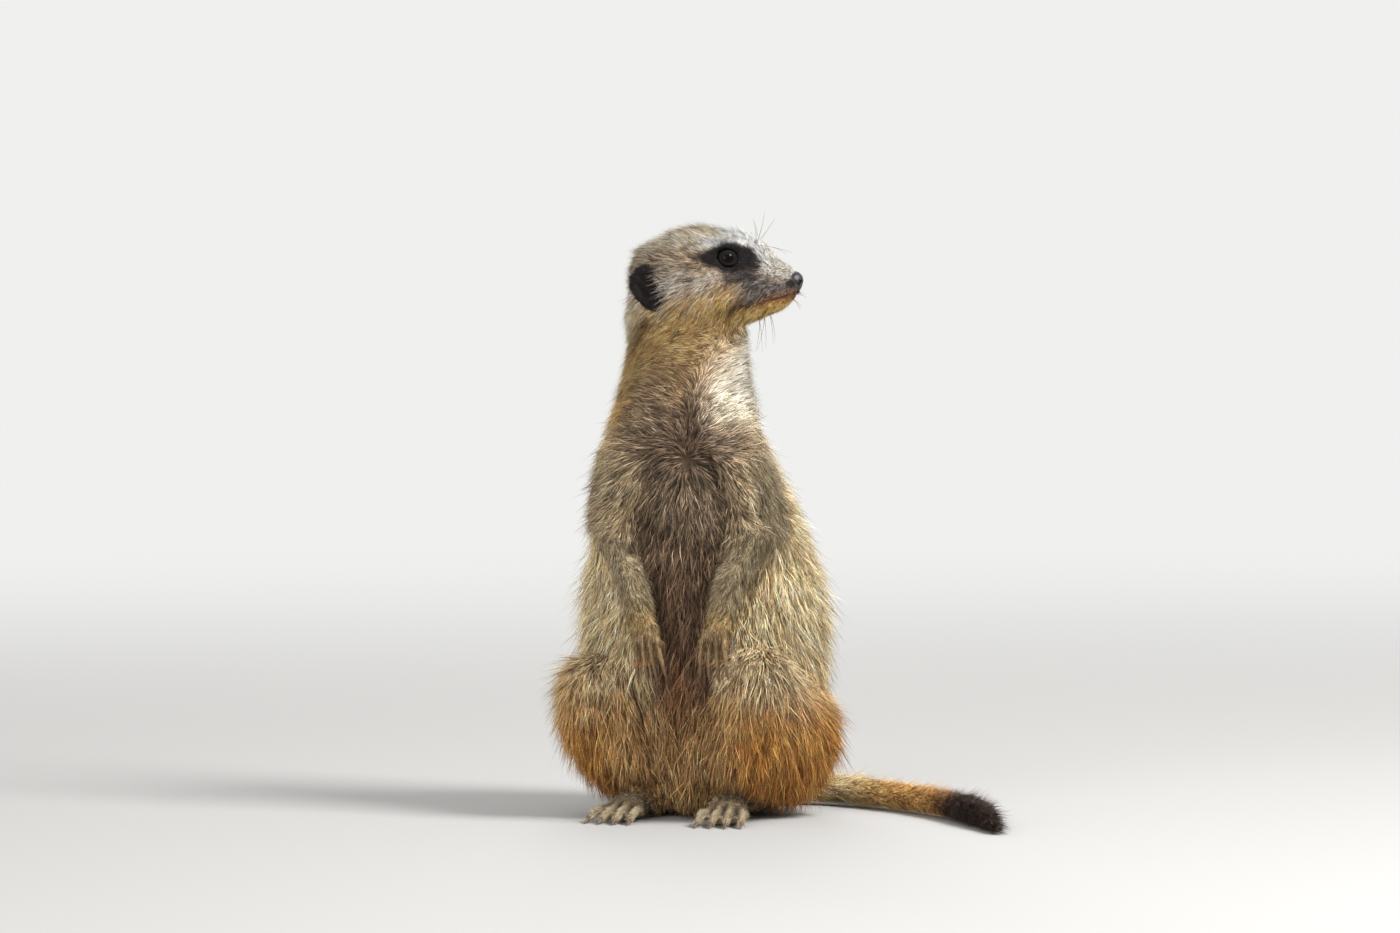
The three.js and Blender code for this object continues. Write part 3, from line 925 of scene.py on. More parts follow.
def waves(points, size, seed):
    """Soft uneven waves about -1 to 1 across the surface, and their slopes. Size is in metres."""
    rng = np.random.default_rng(seed)
    headings = unit(rng.normal(size=(10, 3))) * rng.uniform(0.7, 1.5, (10, 1)) * 2 * np.pi / size
    phases = rng.uniform(0, 2 * np.pi, 10)
    angles = points @ headings.T + phases
    return np.sin(angles).sum(axis=1) / 3.2, np.cos(angles) @ headings * size / 20


def breast_edge(height, turn):
    """Degrees past the fold between the breast and the arms. Below 0 is on the breast."""
    level, half = zip(*BREAST)
    return np.abs(turn) - np.interp(height, level, half)


Trunk = namedtuple("Trunk", "share height turn round_turn uneven")


def trunk_markings(paint, points, labels, tints):
    """Pale flanks, a darker breast and belly, a parting down the throat and a banded back."""
    height = points[:, 2] / MM
    turn = trunk_turn(points)
    trunk = Trunk(members(labels, TRUNK), height, turn, np.abs(turn), waves(points, 26 * MM, 3)[0])
    breast_markings(paint, trunk, tints)
    throat_markings(paint, trunk, tints)
    # Painted shade in the fold between the breast and each arm, in the parting's dark colour.
    paint.lay(tints.parting, beside_breast(points, labels) * 0.9)
    # A dark spot above the whorl: partly the whorl's brown, partly painted shade under the head.
    paint.lay(tints.parting, trunk.share * spot(turn * 0.6, height - WHORL_HEIGHT - 6, 15, 9) * 0.45)
    paint.lay(tints.parting, on_parting(points, labels))
    belly_markings(paint, trunk, tints)
    back_markings(paint, trunk, tints)


def breast_markings(paint, trunk, tints):
    """The flanks, the bare breast between the arms, and the colour of the arms beside it."""
    share, height, _, round_turn, uneven = trunk
    flank = step(round_turn + 8 * uneven, 40, 72) * step(height + 4 * uneven, 180, 148)
    paint.lay(tints.flank, share * flank)
    past = breast_edge(height, trunk.turn)
    breast = share * step(past, 4, -4) * step(height, 160, 146)
    paint.lay(tints.chest, breast)
    paint.lay(tints.belly, breast * step(height, 136, 108))
    arm = share * step(past, -1, 5) * step(height, 112, 124) * step(height, 172, 158)
    reach = np.interp(height, (112, 124, 140, 160), (44, 54, 80, 92))
    paint.lay(tints.upper_arm, arm * step(round_turn + 5 * uneven - reach, 8, -10))
    paint.lay(tints.forearm, arm * step(round_turn - reach, 4, -8) * step(height, 140, 124) * 0.8)
    # The front of the neck above the whorl takes the chest's darker colour: partly its browner fur, partly
    # painted shade under the head.
    paint.lay(tints.chest, share * step(height, 146, 154) * step(height, 176, 164) * step(round_turn, 56, 30))


def throat_markings(paint, trunk, tints):
    """A brown throat with ochre sides, a pale nape, and a cream left side made paler by painted light."""
    share, height, turn, round_turn, uneven = trunk
    rough = height + 4 * uneven
    paint.lay(tints.throat, share * step(height, 160, 176))
    paint.lay(tints.neck_side, share * step(rough, 172, 202) * 0.8)
    paint.lay(tints.neck_side, share * step(rough, 150, 186) * step(round_turn, 38, 62))
    paint.lay(tints.nape, share * step(rough, 140, 176) * step(round_turn + 6 * uneven, 88, 128))
    # Painted light: only the left side of the throat is made pale, as where light falls; the cream is partly
    # the fur's own.
    pale = step(turn + 3 * uneven, 3, 16) * step(turn + 6 * uneven, 120, 72)
    paint.lay(tints.throat_cream_and_painted_light, share * pale * step(height, 156, 172) * 0.85)


def belly_markings(paint, trunk, tints):
    """The ochre fur between the legs, with shade painted down the crease in its middle."""
    share, height, turn, round_turn, _ = trunk
    paint.lay(tints.shin, share * step(height, 62, 44) * step(round_turn, 64, 44))
    # Painted shade down the crease between the thighs.
    crease = np.exp(-((turn / 4.0) ** 2)) * step(height, 16, 26) * step(height, 70, 56)
    paint.lay(tints.parting, share * crease * 0.6)
    groin = spot(round_turn, height - 60, 11, 17)
    paint.lay(tints.groin, share * groin * 0.9)


def back_markings(paint, trunk, tints):
    """A grizzled back with dark bands across it."""
    share, height, _, round_turn, uneven = trunk
    paint.lay(tints.back, share * step(round_turn + 8 * uneven, 104, 136) * step(height, 176, 160))
    band = np.sin(2 * np.pi * (height + 2.2 * uneven) / BAND_SPACING)
    reach = step(round_turn + 10 * uneven, 112, 136) * step(height, 40, 52) * step(height, 172, 160)
    paint.lay(tints.band, share * reach * step(band, 0.0, 0.7) * 0.9)


def limb_markings(paint, points, labels, tints):
    """Arms paler outside, thighs darker below, pale knees, ochre hands and pale feet."""
    height = points[:, 2] / MM
    uneven = waves(points, 18 * MM, 9)[0]
    arms = members(labels, ARMS)
    paint.lay(tints.forearm, arms * step(height, 128, 108))
    paint.lay(tints.wrist, arms * step(height, 98, 82))
    hands = members(labels, HANDS)
    paint.lay(tints.hand, hands)
    paint.lay(tints.fingertip, hands * step(height, 70, 64) * 0.8)
    paint.lay(tints.foot, members(labels, FEET))
    legs = members(labels, LEGS)
    knee = step(height + 4 * uneven, 40, 68) * step(points[:, 1] / MM, -2, -24)
    paint.lay(tints.knee, legs * knee * 0.85)
    paint.lay(tints.thigh_low, legs * step(height + 5 * uneven, 38, 8))
    for side, sign in SIDES.items():
        inner = (middle(f"shank_{side}")[0] - points[:, 0]) * sign / MM
        leg = members(labels, (f"thigh_{side}", f"shank_{side}"))
        paint.lay(tints.shin, leg * step(inner, -2, 9) * step(height + 3 * uneven, 64, 52) * 0.9)
    front = min(corners(node)[0][1] for node in FEET) / MM
    toes = members(labels, FEET) * step(points[:, 1] / MM, front + 26, front + 14)
    paint.lay(tints.toe, toes)


def tail_markings(paint, points, labels, tints):
    """Straw at the root, orange further on, and dark brown at the end."""
    low, high = corners("tail_base")[0][0], corners("tail_tip")[1][0]
    along = (points[:, 0] - low) / (high - low)
    uneven = waves(points, 9 * MM, 5)[0] * 0.03
    tail = members(labels, TAIL)
    paint.lay(tints.tail_root, tail)
    paint.lay(tints.tail_middle, tail * step(along + uneven, 0.3, 0.6))
    paint.lay(tints.tail_tip, tail * step(along + uneven, 0.64, 0.78))


def behind_jaw(points, side):
    """1 on the crease that runs down and back from the foot of an ear, where shade is painted."""
    low = corners(f"ear_{side}")[0][2]
    root = np.array([*middle(f"ear_{side}")[:2], low]) + HEAD_AHEAD * 2 * MM
    way = unit(-0.6 * HEAD_AHEAD - UP)
    local = (points - root) / MM
    along = local @ way
    across = local @ np.cross(way, HEAD_LEFT)
    out = (local @ HEAD_LEFT) * SIDES[side]
    crease = np.exp(-((across / (1.9 + 0.05 * along)) ** 2)) * step(out, -18, -12)
    return crease * step(along, -1, 3) * step(along, 26, 12)


Face = namedtuple("Face", "share place ahead side up uneven")


def head_markings(paint, points, labels, tints):
    """A pale brow, a dark patch about each eye, a grey snout and an ochre jaw."""
    place = in_head(points)
    ahead, left, up = place.T
    face = Face(members(labels, HEAD), place, ahead, np.abs(left), up, waves(points, 7 * MM, 7)[0])
    cheek_markings(paint, face, tints)
    snout_markings(paint, face, tints)
    mouth_markings(paint, face, members(labels, ("lower_jaw",)), tints)
    tip = np.linalg.norm(points - middle("nose"), axis=1) / MM
    bare = step(tip, 5.6, 4.4) * step(up, -5.5, -8) * step(up, -14.5, -13)
    paint.lay(tints.nose, face.share * bare * 0.85)
    paint.lay(tints.nose, face.share * step(beside_nose(place), 0.2, 0.6))
    eye_markings(paint, face, tints)
    for eye in EYES.values():
        near = np.linalg.norm(points - eye, axis=1) / MM
        paint.lay(tints.lids, face.share * step(near, 8.5, 5.0) * 0.75)
    for side in SIDES:
        paint.lay(tints.brow, face.share * before_ear(points, side) * 0.5)


def cheek_markings(paint, face, tints):
    """The crown with its brown spot, the temples, cheeks and jaw, and the pale brow."""
    head, _, ahead, side, up, uneven = face
    paint.lay(tints.crown, head)
    paint.lay(tints.crown_spot, head * spot(ahead + 12, side, 6, 9) * step(up, 6.5, 9.5) * 0.75)
    paint.lay(tints.temple, head * step(up, 7, 2) * step(ahead, 4, -6))
    paint.lay(tints.cheek, head * step(up, -2, -8))
    paint.lay(tints.jaw, head * step(up - 0.2 * ahead + uneven, -6, -17) * step(ahead, 15, 2))
    brow = step(up, 2.5, 5.5) * step(ahead, -13, -6) * step(up + 0.3 * side, 16, 11)
    paint.lay(tints.brow, head * brow * np.maximum(step(up, 9.5, 7.5), step(ahead, -5, 3)))


def snout_markings(paint, face, tints):
    """Grey sides and a paler bridge."""
    bridge = face.up + 0.4 * (face.ahead - 10)
    sides = step(face.ahead, 1, 12) * step(bridge, -0.5, -7.5) * step(face.up, -2.5, -7)
    paint.lay(tints.snout_side, face.share * sides)
    paint.lay(tints.brow, face.share * step(face.ahead, 5, 10) * step(bridge, -3.6, -0.6))
    paint.lay(tints.snout_top, face.share * step(face.ahead, 12, 20) * step(bridge, -4.6, -0.8))


def mouth_markings(paint, face, jaw, tints):
    """An ochre chin, brown lips, and dark skin in the line and corner of the mouth."""
    paint.lay(tints.chin, face.share * jaw * step(face.ahead, 0, 8))
    paint.lay(tints.lips, face.share * mouth_line(face.place, 2.4) * step(face.ahead, 6, 18) * 0.75)
    paint.lay(tints.mouth_corner, face.share * spot(face.ahead - 5.0, face.up + 18.6, 7.5, 1.9) * 0.92)
    paint.lay(tints.mouth_corner, face.share * mouth_line(face.place, 0.8) * 0.85)


def eye_markings(paint, face, tints):
    """The dark patch about each eye and the grey shade under it."""
    head, _, ahead, side, up, uneven = face
    under = np.sqrt(((ahead - 4.5) / 9.0) ** 2 + ((up + 5.4) / 5.0) ** 2) + 0.12 * uneven
    paint.lay(tints.under_eye, head * step(side, 4.5, 7) * step(under, 1.15, 0.7) * 0.9)
    tall = np.where(up > 0, 6.6, 5.4)
    lower = up + 0.1 + 0.1 * (ahead - 3) + 0.008 * (ahead - 3) ** 2
    patch = (np.abs((ahead - 2.0) / 14.6) ** 1.8 + np.abs(lower / tall) ** 1.8) ** 0.56
    patch = patch + 0.06 * uneven - 0.12 * spot(ahead - 7.5, up - 4.4, 3.0, 2.2)
    soft = np.where(lower > 0, 0.0, 0.12)
    inner = step(side - 0.25 * up, 4.2, 6.2)
    paint.lay(tints.eye_patch, head * inner * step(patch, 1.05 + 0.4 * soft, 0.84 - soft))


def markings(points, labels, web, tints, masks):
    """The coat's colour at each place on the skin."""
    starts = [tuple(getattr(tints, COATS[kind(node)].tint)) for node in FLESH]
    paint = Paint(np.array(starts)[labels])
    trunk_markings(paint, points, labels, tints)
    limb_markings(paint, points, labels, tints)
    tail_markings(paint, points, labels, tints)
    paint.colours = web.blur(paint.colours, 6)
    behind = step(points[:, 1] / MM, -30, -12)
    paint.soften(web, members(labels, LEGS), behind, 110)
    # Painted shade, near black, in the grooves between the fingers and toes.
    for node in HANDS + FEET:
        paint.lay(tints.gap, members(labels, (node,)) * digit_gaps(node, points) * 0.97)
    # Painted shade where parts lie against one another.
    for mask, meeting in zip(masks, MEETINGS):
        paint.darken(meeting.darker * mask**2)
    head_markings(paint, points, labels, tints)
    paint.soften(web, members(labels, HEAD), 1.0, 12)
    # Painted shade along the crease below each ear.
    for side in SIDES:
        paint.darken(behind_jaw(points, side) * members(labels, HEAD + ("neck",)) * 0.78)
    return np.clip(web.blur(paint.colours, 1), 0, 1)


# ---------------------------------------------------------------- coat

Roots = namedtuple("Roots", "place normal flow length width lift colour patch pull")


class SkinFacts:
    """What a skin's mesh stores for its coat, as arrays."""

    def __init__(self, name="skin"):
        mesh = bpy.data.objects[name].data
        self.corners = triangles_of(mesh)
        self.points = read(mesh.vertices, "co", 3)
        self.normals = read(mesh.vertices, "normal", 3)
        self.part = self.stored(mesh, "part", "value", 1)[:, 0].astype(int)
        self.length = self.stored(mesh, "hair_length", "value", 1)
        self.width = self.stored(mesh, "hair_width", "value", 1)
        self.density = self.stored(mesh, "hair_density", "value", 1)
        self.lift = self.stored(mesh, "hair_lift", "value", 1)
        self.flow = self.stored(mesh, "hair_flow", "vector", 3)
        self.colour = self.stored(mesh, "coat", "color", 4)[:, :3]
        edge_a = self.points[self.corners[:, 1]] - self.points[self.corners[:, 0]]
        edge_b = self.points[self.corners[:, 2]] - self.points[self.corners[:, 0]]
        area = np.linalg.norm(np.cross(edge_a, edge_b), axis=1) / 2 / MM**2
        self.expected = area * self.density[self.corners].mean(axis=1)[:, 0]

    @staticmethod
    def stored(mesh, name, prop, width):
        """One of the values that the mesh stores for each vertex."""
        return read(mesh.attributes[name].data, prop, width)


def unwrapped(facts, faces):
    """An unwrap of some of the skin's triangles: a place on the map for each of their corners."""
    used, local = np.unique(facts.corners[faces], return_inverse=True)
    mesh = bpy.data.meshes.new("unwrap")
    mesh.from_pydata(facts.points[used].tolist(), [], local.reshape(-1, 3).tolist())
    piece = bpy.data.objects.new("unwrap", mesh)
    bpy.context.collection.objects.link(piece)
    mesh.uv_layers.new(name="map")
    bpy.context.view_layer.objects.active = piece
    piece.select_set(True)
    bpy.ops.object.mode_set(mode="EDIT")
    bpy.ops.mesh.select_all(action="SELECT")
    bpy.ops.uv.smart_project(angle_limit=math.radians(66), island_margin=MAP_MARGIN)
    bpy.ops.object.mode_set(mode="OBJECT")
    places = read(mesh.uv_layers["map"].uv, "vector", 2)
    bpy.data.objects.remove(piece)
    bpy.data.meshes.remove(mesh)
    low, high = places.min(axis=0), places.max(axis=0)
    places = MAP_MARGIN + (1 - 2 * MAP_MARGIN) * (places - low) / (high - low)
    return places.reshape(-1, 3, 2)


def scatter(facts, faces, rng, fullness):
    """Roots spread evenly over some of the skin's triangles."""
    places = unwrapped(facts, faces)
    total = np.cumsum(facts.expected[faces] * fullness) + rng.uniform()
    chosen = np.repeat(np.arange(len(faces)), np.diff(np.floor(total), prepend=0).astype(int))
    split = rng.uniform(size=(len(chosen), 2))
    split[split.sum(axis=1) > 1] = 1 - split[split.sum(axis=1) > 1]
    share = np.stack([1 - split.sum(axis=1), split[:, 0], split[:, 1]], axis=1)[:, :, None]
    corners = facts.corners[faces[chosen]]

    def mixed(values):
        return (values[corners] * share).sum(axis=1)

    return Roots(
        mixed(facts.points),
        unit(mixed(facts.normals)),
        unit(mixed(facts.flow)),
        mixed(facts.length)[:, 0],
        mixed(facts.width)[:, 0],
        mixed(facts.lift)[:, 0],
        mixed(facts.colour),
        (places[chosen] * share).sum(axis=1),
        np.zeros((len(chosen), 3)),
    )


def in_locks(roots, rng, contrast):
    """Neighbouring tufts drawn together at their tips, with shade painted into the hollows between the locks.
    """
    count = len(roots.place)
    middles = rng.choice(count, max(1, count // LOCK_TUFTS), replace=False)
    tree = KDTree(len(middles))
    for number, place in enumerate(roots.place[middles].tolist()):
        tree.insert(place, number)
    tree.balance()
    own = np.array([tree.find(place)[1] for place in roots.place.tolist()])
    side = unit(np.cross(roots.normal, roots.flow))
    across = np.sum((roots.place[middles[own]] - roots.place) * side, axis=1)
    edge = np.clip(np.abs(across) / (2 * np.abs(across).mean() + 1e-9), 0, 1)
    # Tufts at a lock's edge darkened as painted shade in the hollows; each lock's own tone differs at random.
    shade = (1.4 - 0.8 * edge) * np.clip(rng.normal(1, contrast, len(middles)), 0.4, 1.75)[own]
    lift = (1.15 - 0.4 * edge) * rng.normal(1, 0.14, len(middles))[own]
    return roots._replace(
        lift=roots.lift * lift,
        colour=roots.colour * shade[:, None],
        pull=side * across[:, None],
    )


def with_guard_hairs(roots, rng, share):
    """Some of the tufts made long, thin and raised, as the coat's outer hairs are."""
    guard = rng.uniform(size=len(roots.length)) < share
    return roots._replace(
        length=roots.length * np.where(guard, rng.uniform(1.3, 1.85, len(guard)), 1),
        width=roots.width * np.where(guard, 0.6, 1),
        lift=roots.lift + np.where(guard, rng.uniform(4, 20, len(guard)), 0),
    )


def tuft_lines(roots, rng, shares):
    """Where each tuft's middle line runs: one place for each share of its length."""
    count = len(roots.place)
    side = unit(np.cross(roots.normal, roots.flow))
    stray = rng.normal(0, 0.13, count)
    swirl, slope = waves(roots.place, 6.5 * MM, 21)
    heading = unit(roots.flow + side * (stray + 0.16 * swirl)[:, None])
    lift = np.radians(np.clip(roots.lift * rng.normal(1, 0.22, count), 4, 70))
    risen = heading * np.cos(lift)[:, None] + roots.normal * np.sin(lift)[:, None]
    length = (roots.length * rng.uniform(0.72, 1.18, count) * MM)[:, None]
    settle = 0.3 * np.sin(lift)[:, None]
    locks = slope - roots.normal * np.sum(slope * roots.normal, axis=1, keepdims=True)
    curl = side * rng.normal(0, 0.09, (count, 1)) + 0.2 * locks
    bend = roots.normal * -settle + curl
    lines = []
    for share in shares:
        drawn = 0.7 * share**1.3 * roots.pull
        lines.append(roots.place + length * (share * risen + share**2 * bend) + drawn)
    return lines, risen


def tufts(roots, rng, rings):
    """The vertices of all the tufts: rings of three, then a tip. Rings are share, width, shade."""
    lines, risen = tuft_lines(roots, rng, [ring[0] for ring in rings] + [1.0])
    lines[0] = lines[0] - roots.normal * 0.3 * MM
    side = unit(np.cross(roots.normal, risen))
    upper = np.cross(risen, side)
    width = (roots.width * rng.uniform(0.75, 1.25, len(side)) * MM / 2)[:, None]
    points, colours, patches = [], [], []
    shade = rng.normal(1, 0.38, (len(side), 1)) + 0.14 * waves(roots.place, 8 * MM, 31)[0][:, None]
    shade = np.clip(shade, 0.32, 2.1)
    warm = 1 + rng.normal(0, 0.05, (len(side), 1)) * np.array([0.5, 0.1, -1.0])
    base = roots.colour * shade * warm
    light = rng.uniform(size=(len(side), 1)) < LIGHT_TIPS
    tip_shade = np.where(light, rng.uniform(1.3, 2.0, light.shape), rng.uniform(0.3, 0.65, light.shape))
    for number, (_, wide, tone) in enumerate(rings):
        for across, above in ((-1, -0.25), (0, 0.55), (1, -0.25)):
            points.append(lines[number] + wide * width * (across * side + above * upper))
            colours.append(base * tone)
            along = -1 + 2 * number / len(rings)
            patches.append(roots.patch + MAP_HALF_PATCH * np.array([across, along]))
    points.append(lines[-1])
    colours.append(base * tip_shade)
    patches.append(roots.patch + MAP_HALF_PATCH * np.array([0, 1]))
    return [np.stack(block, axis=1) for block in (points, colours, patches)]


def tuft_faces(ring_count):
    """The corners of one tuft's faces, from its open root to its tip."""
    faces = []
    for ring in range(ring_count - 1):
        for side in range(3):
            after = (side + 1) % 3
            low, high = ring * 3, ring * 3 + 3
            faces.append((low + side, low + after, high + after, high + side))
    tip = ring_count * 3
    last = tip - 3
    for side in range(3):
        faces.append((last + side, last + (side + 1) % 3, tip))
    return faces


def coat_mesh(name, points, colours, patches, faces):
    """One mesh from the arrays of all its tufts."""
    count, each = points.shape[:2]
    sizes = np.array([len(face) for face in faces])
    pattern = np.concatenate([np.array(face) for face in faces])
    offsets = np.arange(count)[:, None] * each
    indices = (pattern[None, :] + offsets).astype(np.int32).ravel()
    starts = np.concatenate([[0], np.cumsum(sizes)[:-1]])
    loop_starts = (starts[None, :] + np.arange(count)[:, None] * len(pattern)).astype(np.int32)
    mesh = bpy.data.meshes.new(name)
    mesh.vertices.add(count * each)
    mesh.loops.add(len(indices))
    mesh.polygons.add(count * len(faces))
    points[:, :, 2] = np.maximum(points[:, :, 2], GROUND)
    mesh.vertices.foreach_set("co", points.astype(np.float32).ravel())
    mesh.loops.foreach_set("vertex_index", indices)
    mesh.polygons.foreach_set("loop_start", loop_starts.ravel())
    mesh.update(calc_edges=True)
    layer = mesh.uv_layers.new(name="OFBake")
    flat = np.clip(patches, 0.0005, 0.9995).astype(np.float32).reshape(-1, 2)
    layer.uv.foreach_set("vector", flat[indices].ravel())
    write_colour(mesh, np.clip(colours, 0, 1).reshape(-1, 3))
    mesh.shade_smooth()
    return mesh


def shares_of(facts, faces, pieces):
    """Neighbouring triangles parted into pieces that hold about as many roots each."""
    centres = facts.points[facts.corners[faces, 0]]
    span = centres.max(axis=0) - centres.min(axis=0)
    order = np.argsort(centres[:, 0 if span[0] > 0.6 * span[2] else 2], kind="stable")
    ordered = faces[order]
    total = np.cumsum(facts.expected[ordered])
    cuts = np.searchsorted(total, total[-1] * np.arange(1, pieces) / pieces)
    return [np.sort(part) for part in np.split(ordered, cuts)]


def grow(name, facts, region, growth, slot):
    """The tufts of some of a skin's triangles, in as many pieces as their number needs."""
    sizes = bpy.context.scene.meerkat_coat
    faces = tuft_faces(len(growth.rings))
    triangles = sum(len(face) - 2 for face in faces)
    count = facts.expected[region].sum() * sizes.fullness
    pieces = max(1, math.ceil(count * triangles / PIECE_TRIANGLES))
    for number, part in enumerate(shares_of(facts, region, pieces)):
        rng = np.random.default_rng(SEED + 17 * number + sum(map(ord, name)))
        roots = in_locks(scatter(facts, part, rng, sizes.fullness), rng, growth.contrast)
        roots = with_guard_hairs(roots, rng, growth.guard_share)
        roots = roots._replace(length=roots.length * sizes.length, width=roots.width * sizes.width)
        label = name if pieces == 1 else f"{name}_{number + 1}"
        mesh = coat_mesh(label, *tufts(roots, rng, growth.rings), faces)
        piece = bpy.data.objects.new(label, mesh)
        bpy.context.collection.objects.link(piece)
        finish(piece, coat_material(), slot)


def build_coat():
    """The coat of every part of the body, and of the ears."""
    facts = SkinFacts()
    for name, (nodes, slot, long_hair) in COAT_PIECES.items():
        wanted = [FLESH.index(node) for node in nodes]
        region = np.nonzero(np.isin(facts.part[facts.corners[:, 0]], wanted))[0]
        grow(name, facts, region, LONG_FUR if long_hair else SHORT_FUR, slot)
    for side in SIDES:
        ear = SkinFacts(f"ear_shell_{side}")
        grow(f"coat_ear_{side}", ear, np.arange(len(ear.corners)), EAR_FUR, "ear_skin")


# ---------------------------------------------------------------- materials


def node_of(tree, type_name, inputs=(), **settings):
    """A node with its settings, its input values and its links."""
    new = tree.nodes.new(type_name)
    for name, value in settings.items():
        setattr(new, name, value)
    for name, value in dict(inputs).items():
        if isinstance(value, bpy.types.NodeSocket):
            tree.links.new(value, new.inputs[name])
        else:
            new.inputs[name].default_value = value
    return new


def maths(tree, operation, *values):
    """The result of one sum of values or sockets."""
    inputs = dict(enumerate(values))
    return node_of(tree, "ShaderNodeMath", inputs, operation=operation).outputs[0]


def group_tree(name, inputs, outputs):
    """A new shader node group with its sockets, each with a name, a kind and a value."""
    tree = bpy.data.node_groups.new(name, "ShaderNodeTree")
    for socket, form, value in inputs:
        made = tree.interface.new_socket(socket, in_out="INPUT", socket_type=form)
        made.default_value = value
    for socket, form in outputs:
        tree.interface.new_socket(socket, in_out="OUTPUT", socket_type=form)
    return tree, tree.nodes.new("NodeGroupInput"), tree.nodes.new("NodeGroupOutput")


def grain_group():
    """Speckle of two sizes over a colour, with a height for bump."""
    if "fur_grain" in bpy.data.node_groups:
        return bpy.data.node_groups["fur_grain"]
    inputs = [
        ("Colour", "NodeSocketColor", (0.5, 0.4, 0.3, 1)),
        ("Scale", "NodeSocketFloat", 700.0),
        ("Depth", "NodeSocketFloat", 0.2),
    ]
    outputs = [("Colour", "NodeSocketColor"), ("Height", "NodeSocketFloat")]
    tree, given, result = group_tree("fur_grain", inputs, outputs)
    place = node_of(tree, "ShaderNodeTexCoord").outputs["Object"]
    fine_inputs = {"Vector": place, "Scale": given.outputs["Scale"], "Detail": 3.0}
    fine = node_of(tree, "ShaderNodeTexNoise", fine_inputs)
    broad = node_of(tree, "ShaderNodeTexNoise", {"Vector": place, "Scale": 90.0, "Detail": 2.0})
    both = maths(tree, "ADD", fine.outputs["Fac"], broad.outputs["Fac"])
    centred = maths(tree, "SUBTRACT", both, 1.0)
    scaled = maths(tree, "MULTIPLY_ADD", centred, given.outputs["Depth"], 1.0)
    shaded_inputs = {0: given.outputs["Colour"], "Scale": scaled}
    shaded = node_of(tree, "ShaderNodeVectorMath", shaded_inputs, operation="SCALE")
    tree.links.new(shaded.outputs["Vector"], result.inputs["Colour"])
    tree.links.new(fine.outputs["Fac"], result.inputs["Height"])
    return tree


def new_material(name):
    """A new material with only its shader and output."""
    made = bpy.data.materials.new(name)
    made.use_nodes = True
    return made, made.node_tree, made.node_tree.nodes["Principled BSDF"]


def set_shader(shader, **values):
    """Sets a shader's own values. A space in a socket's name is written as _."""
    for name, value in values.items():
        shader.inputs[name.replace("_", " ")].default_value = value


def bump_into(tree, shader, height, distance, strength=1.0):
    """Raises a shader's surface by a height, without moving its faces."""
    inputs = {"Height": height, "Distance": distance, "Strength": strength}
    bump = node_of(tree, "ShaderNodeBump", inputs)
    tree.links.new(bump.outputs["Normal"], shader.inputs["Normal"])


def grained(tree, shader, colour, scale, depth, bump):
    """Puts a speckled colour and a fine bump on a shader."""
    inputs = {"Colour": colour, "Scale": scale, "Depth": depth}
    grain = node_of(tree, "ShaderNodeGroup", inputs, node_tree=grain_group())
    tree.links.new(grain.outputs["Colour"], shader.inputs["Base Color"])
    bump_into(tree, shader, grain.outputs["Height"], bump)


def skin_material():
    """The short underfur and skin seen between the tufts."""
    if "meerkat_skin" in bpy.data.materials:
        return bpy.data.materials["meerkat_skin"]
    made, tree, shader = new_material("meerkat_skin")
    colour = node_of(tree, "ShaderNodeAttribute", attribute_name="coat").outputs["Color"]
    # Darker than the coat: partly the underfur's colour, partly painted shade between the tufts.
    shaded = node_of(tree, "ShaderNodeVectorMath", {0: colour, "Scale": 0.62}, operation="SCALE")
    grained(tree, shader, shaded.outputs["Vector"], 1500.0, 0.5, 0.0002)
    set_shader(shader, Roughness=0.75, Specular_IOR_Level=0.2)
    return made


def coat_material():
    """The hair: its own markings, a fine grain and a soft silky surface."""
    if "meerkat_coat" in bpy.data.materials:
        return bpy.data.materials["meerkat_coat"]
    made, tree, shader = new_material("meerkat_coat")
    colour = node_of(tree, "ShaderNodeAttribute", attribute_name="coat").outputs["Color"]
    grained(tree, shader, colour, 2600.0, 0.35, 0.00005)
    set_shader(shader, Roughness=0.58, Specular_IOR_Level=0.28)
    return made


def plain_material(name, colour, scale, depth, bump, **values):
    """A material of one colour broken by grain."""
    if name in bpy.data.materials:
        return bpy.data.materials[name]
    made, tree, shader = new_material(name)
    grained(tree, shader, (*colour, 1.0), scale, depth, bump)
    set_shader(shader, **values)
    return made


def eye_material():
    """A dark wet eye with a brown iris about a wide pupil."""
    if "meerkat_eye" in bpy.data.materials:
        return bpy.data.materials["meerkat_eye"]
    tints = bpy.context.scene.meerkat_colours
    made, tree, shader = new_material("meerkat_eye")
    gaze = node_of(tree, "ShaderNodeAttribute", attribute_name="gaze").outputs["Vector"]
    parts = node_of(tree, "ShaderNodeSeparateXYZ", {"Vector": gaze})
    wide = maths(tree, "MULTIPLY", parts.outputs["X"], 0.72)
    flat = node_of(tree, "ShaderNodeCombineXYZ", {"X": wide, "Y": parts.outputs["Y"]})
    reach = node_of(tree, "ShaderNodeVectorMath", {0: flat.outputs[0]}, operation="LENGTH")
    ramp = node_of(tree, "ShaderNodeValToRGB", {"Fac": reach.outputs["Value"]})
    stops = ramp.color_ramp.elements
    stops[0].position, stops[0].color = 0.34, (0.002, 0.002, 0.002, 1)
    stops[1].position, stops[1].color = 0.42, (*tints.iris, 1)
    edge, outside = (0.004, 0.003, 0.003), (0.003, 0.002, 0.002)
    for position, colour in ((0.5, tints.iris), (0.62, edge), (0.8, outside)):
        stop = stops.new(position)
        stop.color = (*colour, 1)
    grained(tree, shader, ramp.outputs["Color"], 1200.0, 0.6, 0.0)
    set_shader(shader, Roughness=0.07, Specular_IOR_Level=0.06)
    return made


# ---------------------------------------------------------------- eyes and lids


